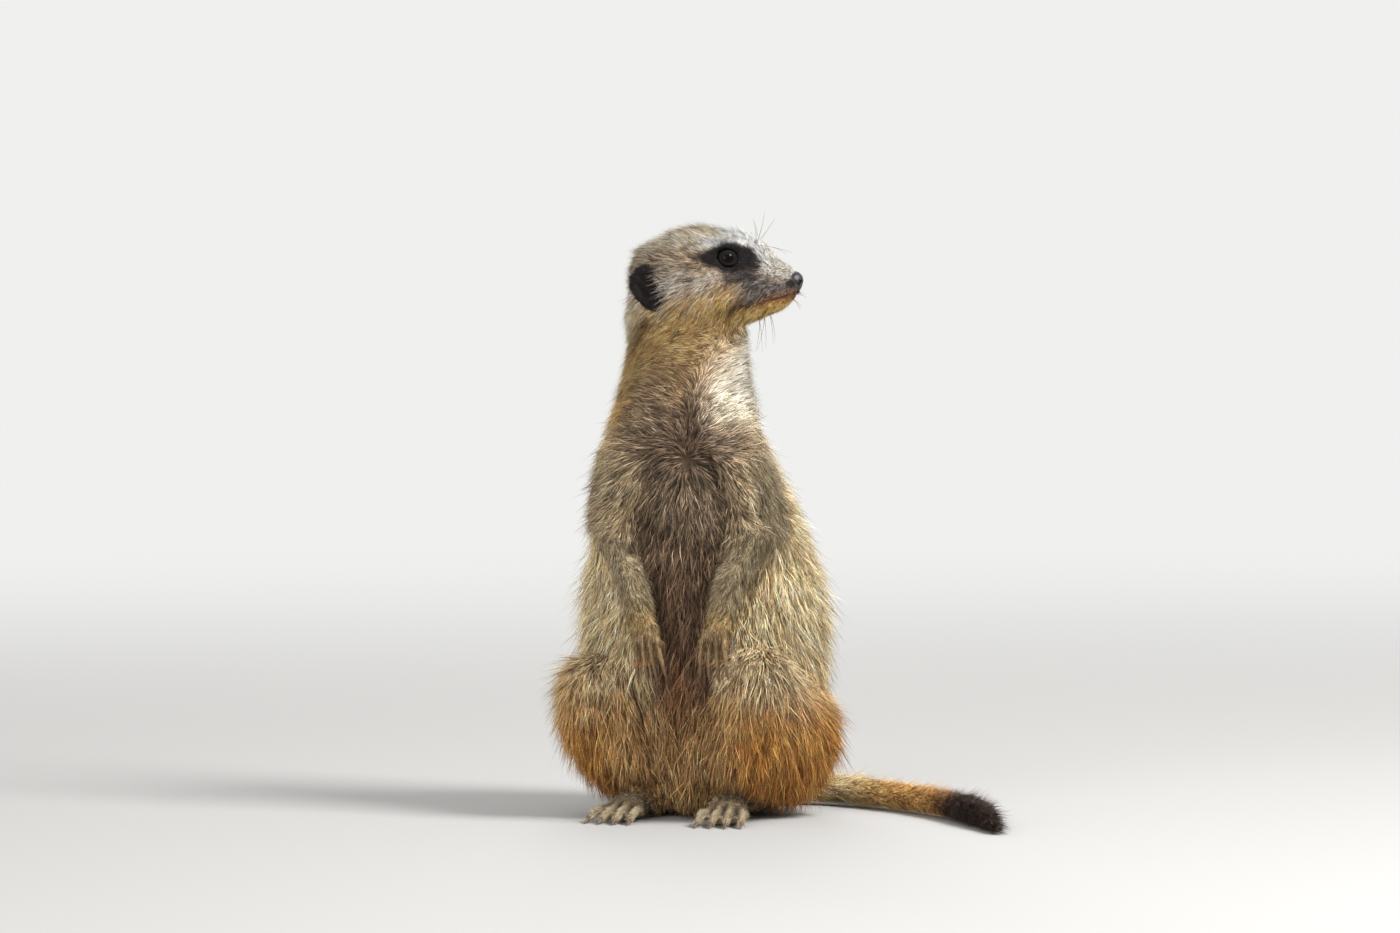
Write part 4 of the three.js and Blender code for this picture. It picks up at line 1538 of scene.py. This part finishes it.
def eye_size(side):
    """The radius of an eyeball, from its CAD solid."""
    low, high = corners(f"eye_{side}")
    return float((high - low).max() / 2)


def eye_axes(side):
    """The eye's own directions: across to the front, up, and out along the gaze."""
    gaze = unit(0.3 * HEAD_AHEAD + 0.94 * SIDES[side] * HEAD_LEFT + 0.08 * UP)
    across = unit(HEAD_AHEAD - gaze * (HEAD_AHEAD @ gaze))
    upper = np.cross(gaze, across) * SIDES[side]
    return np.array([across, upper, gaze])


def build_eyes():
    """Two eyeballs with a raised clear front, each turned the way the animal looks."""
    for side in SIDES:
        bm = bmesh.new()
        bmesh.ops.create_uvsphere(bm, u_segments=48, v_segments=32, radius=1.0)
        eyeball = object_from(bm, f"eyeball_{side}")
        ways = unit(read(eyeball.data.vertices, "co", 3))
        bulge = 0.98 + 0.03 * step(ways[:, 2], 0.7, 0.98)
        points = EYES[side] + (ways * bulge[:, None] * eye_size(side)) @ eye_axes(side)
        place_points(eyeball.data, points)
        facing_out(eyeball)
        write_vectors(eyeball.data, "gaze", ways)
        finish(eyeball, eye_material(), "eye", f"eye_{side}")


def facing_out(piece):
    """Turns a closed piece's faces outwards."""
    bm = bmesh.new()
    bm.from_mesh(piece.data)
    bmesh.ops.recalc_face_normals(bm, faces=bm.faces)
    bm.to_mesh(piece.data)
    bm.free()
    piece.data.shade_smooth()


# From the inner edge over the rim and back under the skin: degrees past the opening's edge,
# and how far out from the eyeball, in millimetres.
LID_PROFILE = (
    (4, -0.7),
    (0.5, -0.25),
    (-1.0, 0.08),
    (0.5, 0.24),
    (5, 0.34),
    (13, 0.3),
    (24, 0.0),
    (26, -0.9),
)


def lid_opening(round_angle):
    """Half the eye's opening, in degrees, in each direction from its middle."""
    wide, tall = 43.0, 31.0
    corner = np.abs(np.cos(round_angle)) ** 3
    plain = 1 / np.sqrt((np.cos(round_angle) / wide) ** 2 + (np.sin(round_angle) / tall) ** 2)
    return plain * (1 + 0.1 * corner)


def build_lids():
    """The rim of both lids round each eye, drawn to a corner in front and behind."""
    tints = bpy.context.scene.meerkat_colours
    for side in SIDES:
        rows = len(LID_PROFILE)
        bm = bmesh.new()
        bmesh.ops.create_grid(bm, x_segments=72, y_segments=rows, size=0.5)
        for vert in bm.verts:
            round_angle = (vert.co.x + 0.5) * 2 * math.pi
            past, out = LID_PROFILE[round((vert.co.y + 0.5) * rows) % rows]
            away = math.radians(float(lid_opening(round_angle)) + past)
            ring = math.sin(away)
            way = np.array([ring * math.cos(round_angle), ring * math.sin(round_angle), math.cos(away)])
            reach = eye_size(side) * 0.97 + out * MM
            vert.co = EYES[side] + reach * way @ eye_axes(side)
        bmesh.ops.remove_doubles(bm, verts=bm.verts, dist=1e-6)
        lids = object_from(bm, f"eyelids_{side}")
        facing_out(lids)
        looks = {"Roughness": 0.75, "Specular_IOR_Level": 0.12}
        material = plain_material("lid_skin", tints.lids, 2500.0, 0.4, 0.0001, **looks)
        finish(lids, material, "nose_skin")


# ---------------------------------------------------------------- nose, ears, claws and whiskers


def build_nose():
    """The bare nose with two comma nostrils and a groove down its middle."""
    tints = bpy.context.scene.meerkat_colours
    nose = outer_surface(node_solid("nose", 0.15 * MM), "nose_pad", 0.25 * MM)
    web = Web(nose.data)
    points = web.blur(read(nose.data.vertices, "co", 3), 14)
    local = (points - middle("nose")) @ HEAD_AXES.T
    low = step(local[:, 2], 0.5 * MM, -3 * MM)[:, None]
    local = local * np.array([1.08, 1.1, 1.08]) * (1 + low * np.array([-0.06, -0.1, 0.3]))
    local += np.array([-1.1, 0.0, 0.2]) * MM
    points = middle("nose") + local @ HEAD_AXES
    place_points(nose.data, points)
    normals = read(nose.data.vertices, "normal", 3)
    ahead, left, up = local.T / MM
    side = np.abs(left)
    front = step(ahead, -1.5, 0.5)
    dent = 1.15 * spot(side - 2.2, up + 0.4, 0.85, 0.75) * front
    dent += 0.8 * spot(side - 3.1 + 0.5 * (up + 0.9), up + 1.0, 0.9, 0.4) * step(ahead, -3, -1)
    dent += 0.45 * np.exp(-((left / 0.35) ** 2)) * front * step(up, 2.2, 0.6)
    place_points(nose.data, points - normals * dent[:, None] * MM)
    finish(nose, nose_material(tints), "nose_skin", "nose")


def nose_material(tints):
    """Bare skin in small raised cells, moist and dark."""
    if "nose_leather" in bpy.data.materials:
        return bpy.data.materials["nose_leather"]
    made, tree, shader = new_material("nose_leather")
    grained(tree, shader, (*tints.nose, 1.0), 1800.0, 0.5, 0.0)
    place = node_of(tree, "ShaderNodeTexCoord").outputs["Object"]
    cells = node_of(tree, "ShaderNodeTexVoronoi", {"Vector": place, "Scale": 2300.0})
    bump_into(tree, shader, cells.outputs["Distance"], 0.00012, 0.8)
    set_shader(shader, Roughness=0.36, Specular_IOR_Level=0.5)
    return made


def ear_axes(side):
    """The ear's own directions: its long way forwards, out from the head, and up its height."""
    points = node_points(f"ear_{side}") - middle(f"ear_{side}")
    _, ways = np.linalg.eigh(np.cov(points.T))
    out = ways[:, 0] * np.sign(ways[:, 0] @ HEAD_LEFT * SIDES[side])
    tall = ways[:, 2] * np.sign(ways[:, 2] @ UP)
    along = unit(np.cross(tall, out)) * SIDES[side]
    return np.array([along * np.sign(along @ HEAD_AHEAD), out, tall])


def ear_form(side, points, normals):
    """Fills the cup towards its floor, raises a fold and a rim, and tips the ear back."""
    axes = ear_axes(side)
    along, out, tall = ((points - middle(f"ear_{side}")) @ axes.T / MM).T
    reach = np.sqrt((along / 6.6) ** 2 + (tall / 9.4) ** 2)
    inside = step(normals @ axes[1], -0.2, 0.5) * step(reach, 1.0, 0.75)
    relief = 1.5 * inside * step(reach, 0.95, 0.1)
    relief += 0.9 * inside * np.exp(-(((along + 1.4 + 0.1 * tall) / 1.1) ** 2)) * step(tall, -6, -3)
    relief += 0.7 * inside * spot(along - 3.0, tall + 3.5, 1.6, 3.4)
    relief -= 0.5 * step(reach, 0.8, 1.05) * step(along, 2, 6)
    wide = along * (1 + 0.017 * tall)
    lean = math.radians(12)
    leant_along = wide * math.cos(lean) - tall * math.sin(lean)
    leant_tall = wide * math.sin(lean) + tall * math.cos(lean)
    turned = np.stack([leant_along, out, leant_tall])
    forward = 1.2 * MM * HEAD_AHEAD
    return middle(f"ear_{side}") + forward + turned.T @ axes * MM + normals * relief[:, None] * MM


def dress_ear(mesh, side, tints):
    """The ear's short dark fur, which lies from its root to its rim."""
    points = read(mesh.vertices, "co", 3)
    normals = read(mesh.vertices, "normal", 3)
    axes = ear_axes(side)
    place = (points - middle(f"ear_{side}")) @ axes.T / MM
    along, _, tall = axes
    flow = 0.5 * tall - 0.35 * along + 0.12 * place[:, :1] * along + 0.03 * place[:, 2:] * tall
    count = len(points)
    rim = step(np.sqrt((place[:, 0] / 7.3) ** 2 + (place[:, 2] / 10.2) ** 2), 0.7, 1.0)
    write(mesh, "hair_length", 2.0 + 0.9 * rim)
    write(mesh, "hair_width", np.full(count, 0.36))
    write(mesh, "hair_density", np.full(count, 8.0))
    write(mesh, "hair_lift", 17 + 8 * rim)
    write_vectors(mesh, "hair_flow", laid(unit(flow), normals))
    write(mesh, "part", np.zeros(count))
    paint = Paint(np.tile(np.array(tints.ear), (count, 1)))
    front = step(place[:, 0], 4.0, 7.0) * step(place[:, 2], 8, 2)
    paint.lay(tints.temple, front * 0.55)
    write_colour(mesh, paint.colours)


def build_ears():
    """Both ears: low dark flaps with a fold inside, set close to the head."""
    tints = bpy.context.scene.meerkat_colours
    for side in SIDES:
        node = f"ear_{side}"
        ear = outer_surface(node_solid(node), f"ear_shell_{side}", 0.4 * MM)
        web = Web(ear.data)
        points = web.blur(read(ear.data.vertices, "co", 3), 8)
        place_points(ear.data, points)
        normals = read(ear.data.vertices, "normal", 3)
        place_points(ear.data, web.blur(ear_form(side, points, normals), 3))
        dress_ear(ear.data, side, tints)
        finish(ear, skin_material(), "ear_skin", node)


def tube(bm, points, radii, sides):
    """A tapered round form along a line, closed at both ends."""
    headings = unit(np.gradient(np.asarray(points), axis=0))
    before = None
    edges = []
    for point, heading, radius in zip(points, headings, radii):
        turn = Vector(heading).to_track_quat("Z", "Y").to_matrix().to_4x4()
        place = Matrix.Translation(Vector(point)) @ turn @ Matrix.Scale(radius, 4)
        if before is None:
            ring = bmesh.ops.create_circle(bm, cap_ends=True, radius=1, segments=sides, matrix=place)
            edges = list({edge for vert in ring["verts"] for edge in vert.link_edges})
        else:
            made = bmesh.ops.extrude_edge_only(bm, edges=edges)["geom"]
            verts = [item for item in made if isinstance(item, bmesh.types.BMVert)]
            edges = [item for item in made if isinstance(item, bmesh.types.BMEdge)]
            edges = [edge for edge in edges if all(vert in verts for vert in edge.verts)]
            bmesh.ops.transform(bm, matrix=place @ before.inverted(), verts=verts)
        before = place
    bmesh.ops.edgeloop_fill(bm, edges=edges)


def claw_line(start, tip, digits, steps):
    """A claw's middle line in its paw's frame, from inside the digit, curving down to its point."""
    ahead = unit(tip - start)
    line = []
    for share in np.linspace(0, 1, steps):
        reach = ahead * (digits.claw * share - 1.6)
        drop = np.array([0, 0, 0.5 - digits.claw_drop * share**1.6])
        line.append(tip + reach + drop)
    return np.array(line)


def build_claws():
    """Four long bent claws on each hand and four shorter ones on each foot."""
    tints = bpy.context.scene.meerkat_colours
    taper = np.array([0.9, 1.0, 0.95, 0.8, 0.6, 0.38, 0.12])
    bm = bmesh.new()
    for node in HANDS + FEET:
        digits, place = digits_of(node), place_of_paw(node)
        for start, tip in digit_lines(digits):
            radii = digits.claw_radius * MM * taper
            line = [place @ Vector(point * MM) for point in claw_line(start, tip, digits, len(radii))]
            tube(bm, np.array(line), radii, 10)
    bmesh.ops.recalc_face_normals(bm, faces=bm.faces)
    for vert in bm.verts:
        vert.co.z = max(vert.co.z, GROUND)
    claws = object_from(bm, "claws")
    material = plain_material("claw_horn", tints.claw, 900.0, 0.5, 0.00008, Roughness=0.38)
    finish(claws, material, "paw_fur")


def whisker_roots(rng):
    """Root, direction and length of every whisker, in the head's own millimetres."""
    for sign in SIDES.values():
        for row in range(2):
            for number in range(4):
                near = (17.5 + 2.2 * number + 0.5 * row, sign * 4, -10.0 - 1.8 * row)
                way = (0.35 - 0.1 * number, 1.0, -0.3 - 0.15 * row)
                yield near, way, sign, rng.uniform(8, 13)
        for way, length in (((0.6, 0.1, 0.7), 19), ((1.0, 0.15, 0.15), 17), ((0.1, 0.1, 1.0), 13)):
            yield (13.5, sign * 7, 7), way, sign, length
        for number in range(3):
            near = (18 - 2.5 * number, sign * 3.5, -24)
            yield near, (0.4 - 0.15 * number, 0.15, -1.0), sign, rng.uniform(11, 14)
        yield (27, sign * 2, -17), (0.9, 0.1, -0.5), sign, 6
        yield (29, sign * 1.5, -15), (1.0, 0.2, 0.1), sign, 5


def build_whiskers():
    """Fine dark whiskers on the snout, over the eyes and under the chin."""
    tints = bpy.context.scene.meerkat_colours
    rng = np.random.default_rng(SEED)
    skin = bpy.data.objects["skin"].data
    corners = triangles_of(skin)
    tree = BVHTree.FromPolygons(read(skin.vertices, "co", 3).tolist(), corners.tolist())
    bm = bmesh.new()
    for near, way, sign, length in whisker_roots(rng):
        root = np.array(tree.find_nearest(Vector(from_head(*near)))[0])
        ahead, out, up = np.array(way) + rng.normal(0, 0.14, 3)
        heading = unit(np.array([ahead, out * sign, up]) @ HEAD_AXES)
        sag = (-0.25 * HEAD_AHEAD - 0.25 * UP) * rng.uniform(0.4, 1.2)
        shares = np.linspace(-0.04, 1, 11)[:, None]
        line = root + length * MM * (shares * heading + shares**2 * sag)
        tube(bm, line, np.linspace(0.13, 0.03, 11) * MM, 5)
    bmesh.ops.recalc_face_normals(bm, faces=bm.faces)
    whiskers = object_from(bm, "whiskers")
    material = plain_material("whisker_hair", tints.whisker, 600.0, 0.3, 0.0, Roughness=0.4)
    finish(whiskers, material, "face_fur")


# ---------------------------------------------------------------- stage


def seen_directly(tree):
    """1 for the rays that see the backdrop itself: those of the camera and of glossy surfaces."""
    rays = node_of(tree, "ShaderNodeLightPath").outputs
    return maths(tree, "MAXIMUM", rays["Is Camera Ray"], rays["Is Glossy Ray"])


def backdrop_floor(sizes):
    """A pale floor that fades into the background well away from the animal."""
    bm = bmesh.new()
    bmesh.ops.create_circle(bm, cap_ends=True, radius=12.0, segments=96)
    floor = object_from(bm, "floor")
    made, tree, shader = new_material("pale_floor")
    set_shader(shader, Base_Color=(*sizes.floor, 1), Roughness=0.9, Specular_IOR_Level=0.1)
    place = node_of(tree, "ShaderNodeTexCoord").outputs["Object"]
    away = node_of(tree, "ShaderNodeVectorMath", {0: place}, operation="LENGTH")
    fade_inputs = {"Value": away.outputs["Value"], "From Min": 0.35, "From Max": 1.6}
    fade = node_of(tree, "ShaderNodeMapRange", fade_inputs, interpolation_type="SMOOTHSTEP")
    share = maths(tree, "MULTIPLY", seen_directly(tree), fade.outputs["Result"])
    pale = node_of(tree, "ShaderNodeEmission", {"Color": (*sizes.backdrop, 1), "Strength": 1.0})
    both_inputs = {0: share, 1: shader.outputs["BSDF"], 2: pale.outputs["Emission"]}
    both = node_of(tree, "ShaderNodeMixShader", both_inputs)
    tree.links.new(both.outputs["Shader"], tree.nodes["Material Output"].inputs["Surface"])
    floor.data.materials.append(made)


def backdrop_world(sizes):
    """An even pale background, and a softer level of light from it."""
    world = bpy.data.worlds.new("studio")
    world.use_nodes = True
    tree = world.node_tree
    tree.nodes.clear()
    light = node_of(tree, "ShaderNodeBackground", {"Color": (1, 1, 1, 1), "Strength": sizes.fill})
    pale = node_of(tree, "ShaderNodeBackground", {"Color": (*sizes.backdrop, 1), "Strength": 1.0})
    both_inputs = {0: seen_directly(tree), 1: light.outputs[0], 2: pale.outputs[0]}
    both = node_of(tree, "ShaderNodeMixShader", both_inputs)
    out = node_of(tree, "ShaderNodeOutputWorld")
    tree.links.new(both.outputs[0], out.inputs["Surface"])
    bpy.context.scene.world = world


def direction(bearing, rise):
    """A way out from the animal: bearing from -Y towards +X, and rise above level, in radians."""
    level = math.cos(rise)
    return Vector((math.sin(bearing) * level, -math.cos(bearing) * level, math.sin(rise)))


def aimed(new, place, target):
    """A lamp or camera put in its place and turned to its target."""
    new.location = place
    new.rotation_euler = (Vector(target) - Vector(place)).to_track_quat("-Z", "Y").to_euler()
    bpy.context.collection.objects.link(new)
    return new


def soft_light(name, bearing, height, distance, size, watts, target):
    """A square lamp. Its bearing is from -Y towards +X, and its height above level, in degrees."""
    lamp = bpy.data.lights.new(name, "AREA")
    lamp.size = size
    lamp.energy = watts
    way = direction(math.radians(bearing), math.radians(height))
    aimed(bpy.data.objects.new(name, lamp), Vector(target) + way * distance, target)


def build_stage():
    """Floor, background, three soft lamps and the camera."""
    sizes = bpy.context.scene.meerkat_stage
    backdrop_floor(sizes)
    backdrop_world(sizes)
    target = (0.0, 0.0, 0.13)
    soft_light("key", 76, 42, 1.5, 0.5, sizes.key, target)
    soft_light("front", -8, 16, 2.0, 1.4, sizes.front, target)
    soft_light("back", 205, 30, 1.8, 0.9, sizes.back, target)
    camera = bpy.data.cameras.new("camera")
    camera.lens = 200
    camera.sensor_width = 36
    camera.clip_end = 60
    aim = Vector((0.0, 0.0, sizes.aim))
    stand = aim + direction(sizes.bearing, sizes.rise) * sizes.distance
    bpy.context.scene.camera = aimed(bpy.data.objects.new("camera", camera), stand, aim)
    bpy.context.scene.view_settings.view_transform = "Standard"


# ---------------------------------------------------------------- values a user may change


def tint(name, description, red, green, blue):
    """A colour property from a colour as written on screen."""
    return FloatVectorProperty(
        name=name,
        description=description,
        subtype="COLOR",
        size=3,
        min=0.0,
        max=1.0,
        default=srgb(red, green, blue),
    )


def amount(name, description, default, **limits):
    """A property for one measure."""
    return FloatProperty(name=name, description=description, default=default, **limits)


class MeerkatSkin(PropertyGroup):
    """How finely the skin is made"""

    detail: amount(
        "Detail", "Size of the skin's faces where they are finest", 0.0007, min=0.0004, unit="LENGTH"
    )
    thinning: amount(
        "Thinning", "Share of the faces kept where the skin is made coarser", 0.36, min=0.05, max=1.0
    )


class MeerkatCoat(PropertyGroup):
    """How full, long and wide the coat's tufts are"""

    fullness: amount("Fullness", "How many tufts there are, where 1 is the usual number", 1.0, min=0.1)
    length: amount("Length", "How long the tufts are, where 1 is the usual length", 1.0, min=0.1)
    width: amount("Width", "How wide the tufts are, where 1 is the usual width", 1.0, min=0.1)


class MeerkatColours(PropertyGroup):
    """The colours of the skin, the coat and the bare parts"""

    crown: tint("Crown", "Top of the head", 248, 224, 186)
    crown_spot: tint("Crown spot", "Brown patch on the crown", 156, 122, 96)
    brow: tint("Brow", "Pale brow and forehead", 255, 252, 244)
    temple: tint("Temple", "Behind the eye", 186, 161, 134)
    cheek: tint("Cheek", "Below the eye", 208, 188, 167)
    jaw: tint("Jaw", "Lower cheek and jaw", 246, 190, 120)
    chin: tint("Chin", "Under the mouth", 248, 194, 118)
    snout_side: tint("Snout side", "Sides of the snout", 113, 105, 98)
    snout_top: tint("Snout top", "Bridge of the snout", 208, 198, 184)
    under_eye: tint("Under the eye", "Grey shade under the eye patch", 64, 58, 57)
    eye_patch: tint("Eye patch", "Dark patch about the eye", 33, 26, 26)
    lips: tint("Lips", "Edge of the mouth", 158, 98, 58)
    mouth_corner: tint("Mouth corner", "Dark skin where the mouth ends", 58, 44, 40)
    throat: tint("Throat", "Front of the neck", 143, 121, 95)
    # Cream throat fur, laid on the left side only as painted light.
    throat_cream_and_painted_light: tint("Pale throat", "Side of the throat below the chin", 226, 212, 187)
    # Also laid, as painted shade, in the folds beside the arms and down the belly's crease, and in part above
    # the whorl.
    parting: tint("Parting", "Dark line down the throat", 71, 52, 39)
    neck_side: tint("Neck side", "Sides of the neck", 210, 165, 107)
    nape: tint("Nape", "Back of the neck", 248, 219, 174)
    chest: tint("Chest", "Breast between the arms", 134, 115, 94)
    belly: tint("Belly", "Middle of the belly", 114, 91, 71)
    groin: tint("Groin", "Between the thighs", 156, 111, 76)
    flank: tint("Flank", "Sides of the body", 234, 203, 156)
    back: tint("Back", "Back of the body", 180, 158, 122)
    band: tint("Bands", "Dark bands over the back", 84, 65, 47)
    upper_arm: tint("Upper arm", "Shoulder and upper arm", 190, 166, 132)
    forearm: tint("Forearm", "Lower arm", 172, 151, 119)
    wrist: tint("Wrist", "Lowest part of the arm", 184, 150, 100)
    hand: tint("Hand", "Hands and fingers", 182, 149, 109)
    fingertip: tint("Fingertip", "Ends of the fingers", 234, 162, 106)
    toe: tint("Toe", "Tops of the toes", 196, 176, 142)
    # Painted shade in the grooves between the digits.
    gap: tint("Between digits", "Skin between fingers and toes", 18, 13, 10)
    thigh: tint("Thigh", "Thigh and haunch", 199, 138, 72)
    thigh_low: tint("Haunch foot", "Lowest part of the haunch", 173, 109, 54)
    knee: tint("Knee", "Pale top of the knee", 204, 181, 144)
    shin: tint("Shin", "Inner side of the lower leg", 198, 154, 104)
    foot: tint("Foot", "Feet and toes", 128, 110, 86)
    tail_root: tint("Tail root", "First part of the tail", 212, 180, 130)
    tail_middle: tint("Tail middle", "Middle of the tail", 204, 148, 88)
    tail_tip: tint("Tail tip", "Last third of the tail", 58, 43, 35)
    ear: tint("Ear", "Ears", 26, 20, 19)
    nose: tint("Nose", "Bare skin of the nose", 30, 22, 22)
    lids: tint("Lids", "Rims of the eyes", 17, 13, 13)
    iris: tint("Iris", "Ring round the pupil", 28, 21, 17)
    claw: tint("Claw", "Claws", 100, 76, 54)
    whisker: tint("Whisker", "Whiskers", 104, 92, 80)


class MeerkatStage(PropertyGroup):
    """Background, lamps and camera"""

    backdrop: tint("Backdrop", "Colour of the background", 240, 240, 238)
    floor: tint("Floor", "Colour of the floor", 180, 179, 177)
    key: amount("Key light", "Main lamp in watts", 33.0, min=0)
    front: amount("Front light", "Front lamp in watts", 24.0, min=0)
    back: amount("Back light", "Rear lamp in watts", 12.0, min=0)
    fill: amount("Fill", "Light from all round", 0.5, min=0)
    bearing: amount(
        "Camera bearing", "Where the camera stands, from -Y towards +X", math.radians(18), subtype="ANGLE"
    )
    rise: amount("Camera rise", "How far the camera looks down", math.radians(3.5), subtype="ANGLE")
    distance: amount("Camera distance", "From the camera to what it looks at", 3.24, unit="LENGTH")
    aim: amount("Camera aim", "Height of the place the camera looks at", 0.1453, unit="LENGTH")


# ---------------------------------------------------------------- operators and panel


class MeerkatOperator(Operator):
    """Shared by the operators that build the meerkat"""

    bl_options = {"REGISTER", "UNDO"}

    def execute(self, context):
        self.build()
        return {"FINISHED"}


class MEERKAT_OT_skin(MeerkatOperator):
    """Build the skin over all the flesh"""

    bl_idname = "meerkat.skin"
    bl_label = "Skin"

    def build(self):
        build_skin()


class MEERKAT_OT_eyes(MeerkatOperator):
    """Build the eyeballs and the lids round them"""

    bl_idname = "meerkat.eyes"
    bl_label = "Eyes and Lids"

    def build(self):
        build_eyes()
        build_lids()


class MEERKAT_OT_nose_and_ears(MeerkatOperator):
    """Build the nose and the ears"""

    bl_idname = "meerkat.nose_and_ears"
    bl_label = "Nose and Ears"

    def build(self):
        build_nose()
        build_ears()


class MEERKAT_OT_claws(MeerkatOperator):
    """Build the claws of the hands and feet"""

    bl_idname = "meerkat.claws"
    bl_label = "Claws"

    def build(self):
        build_claws()


class MEERKAT_OT_coat(MeerkatOperator):
    """Grow the coat from the skin"""

    bl_idname = "meerkat.coat"
    bl_label = "Coat"

    def build(self):
        build_coat()


class MEERKAT_OT_whiskers(MeerkatOperator):
    """Build the whiskers"""

    bl_idname = "meerkat.whiskers"
    bl_label = "Whiskers"

    def build(self):
        build_whiskers()


class MEERKAT_OT_stage(MeerkatOperator):
    """Set up the floor, the lamps and the camera"""

    bl_idname = "meerkat.stage"
    bl_label = "Stage"

    def build(self):
        build_stage()


class MEERKAT_PT_panel(Panel):
    """The steps of the meerkat, in the order they are run"""

    bl_label = "Meerkat"
    bl_idname = "MEERKAT_PT_panel"
    bl_space_type = "VIEW_3D"
    bl_region_type = "UI"
    bl_category = "Meerkat"

    def draw(self, context):
        """One button for each step, then the values that may be changed."""
        for operator in OPERATORS:
            self.layout.operator(operator.bl_idname)
        for group in GROUPS:
            box = self.layout.box()
            values = getattr(context.scene, group)
            for name in values.bl_rna.properties.keys():
                if name not in {"rna_type", "name"}:
                    box.prop(values, name)


OPERATORS = (
    MEERKAT_OT_skin,
    MEERKAT_OT_eyes,
    MEERKAT_OT_nose_and_ears,
    MEERKAT_OT_claws,
    MEERKAT_OT_coat,
    MEERKAT_OT_whiskers,
    MEERKAT_OT_stage,
)
GROUPS = {
    "meerkat_skin": MeerkatSkin,
    "meerkat_coat": MeerkatCoat,
    "meerkat_colours": MeerkatColours,
    "meerkat_stage": MeerkatStage,
}


def register():
    """Adds the values, the operators and the panel to Blender."""
    for group, made in GROUPS.items():
        bpy.utils.register_class(made)
        setattr(bpy.types.Scene, group, PointerProperty(type=made))
    for made in (*OPERATORS, MEERKAT_PT_panel):
        bpy.utils.register_class(made)


def unregister():
    """Takes them out again."""
    for made in (MEERKAT_PT_panel, *reversed(OPERATORS)):
        bpy.utils.unregister_class(made)
    for group, made in reversed(GROUPS.items()):
        delattr(bpy.types.Scene, group)
        bpy.utils.unregister_class(made)


def main():
    """Builds every piece and the stage."""
    register()
    for operator in OPERATORS:
        step_name = operator.bl_idname.split(".")[1]
        getattr(bpy.ops.meerkat, step_name)()


if __name__ == "__main__":
    main()
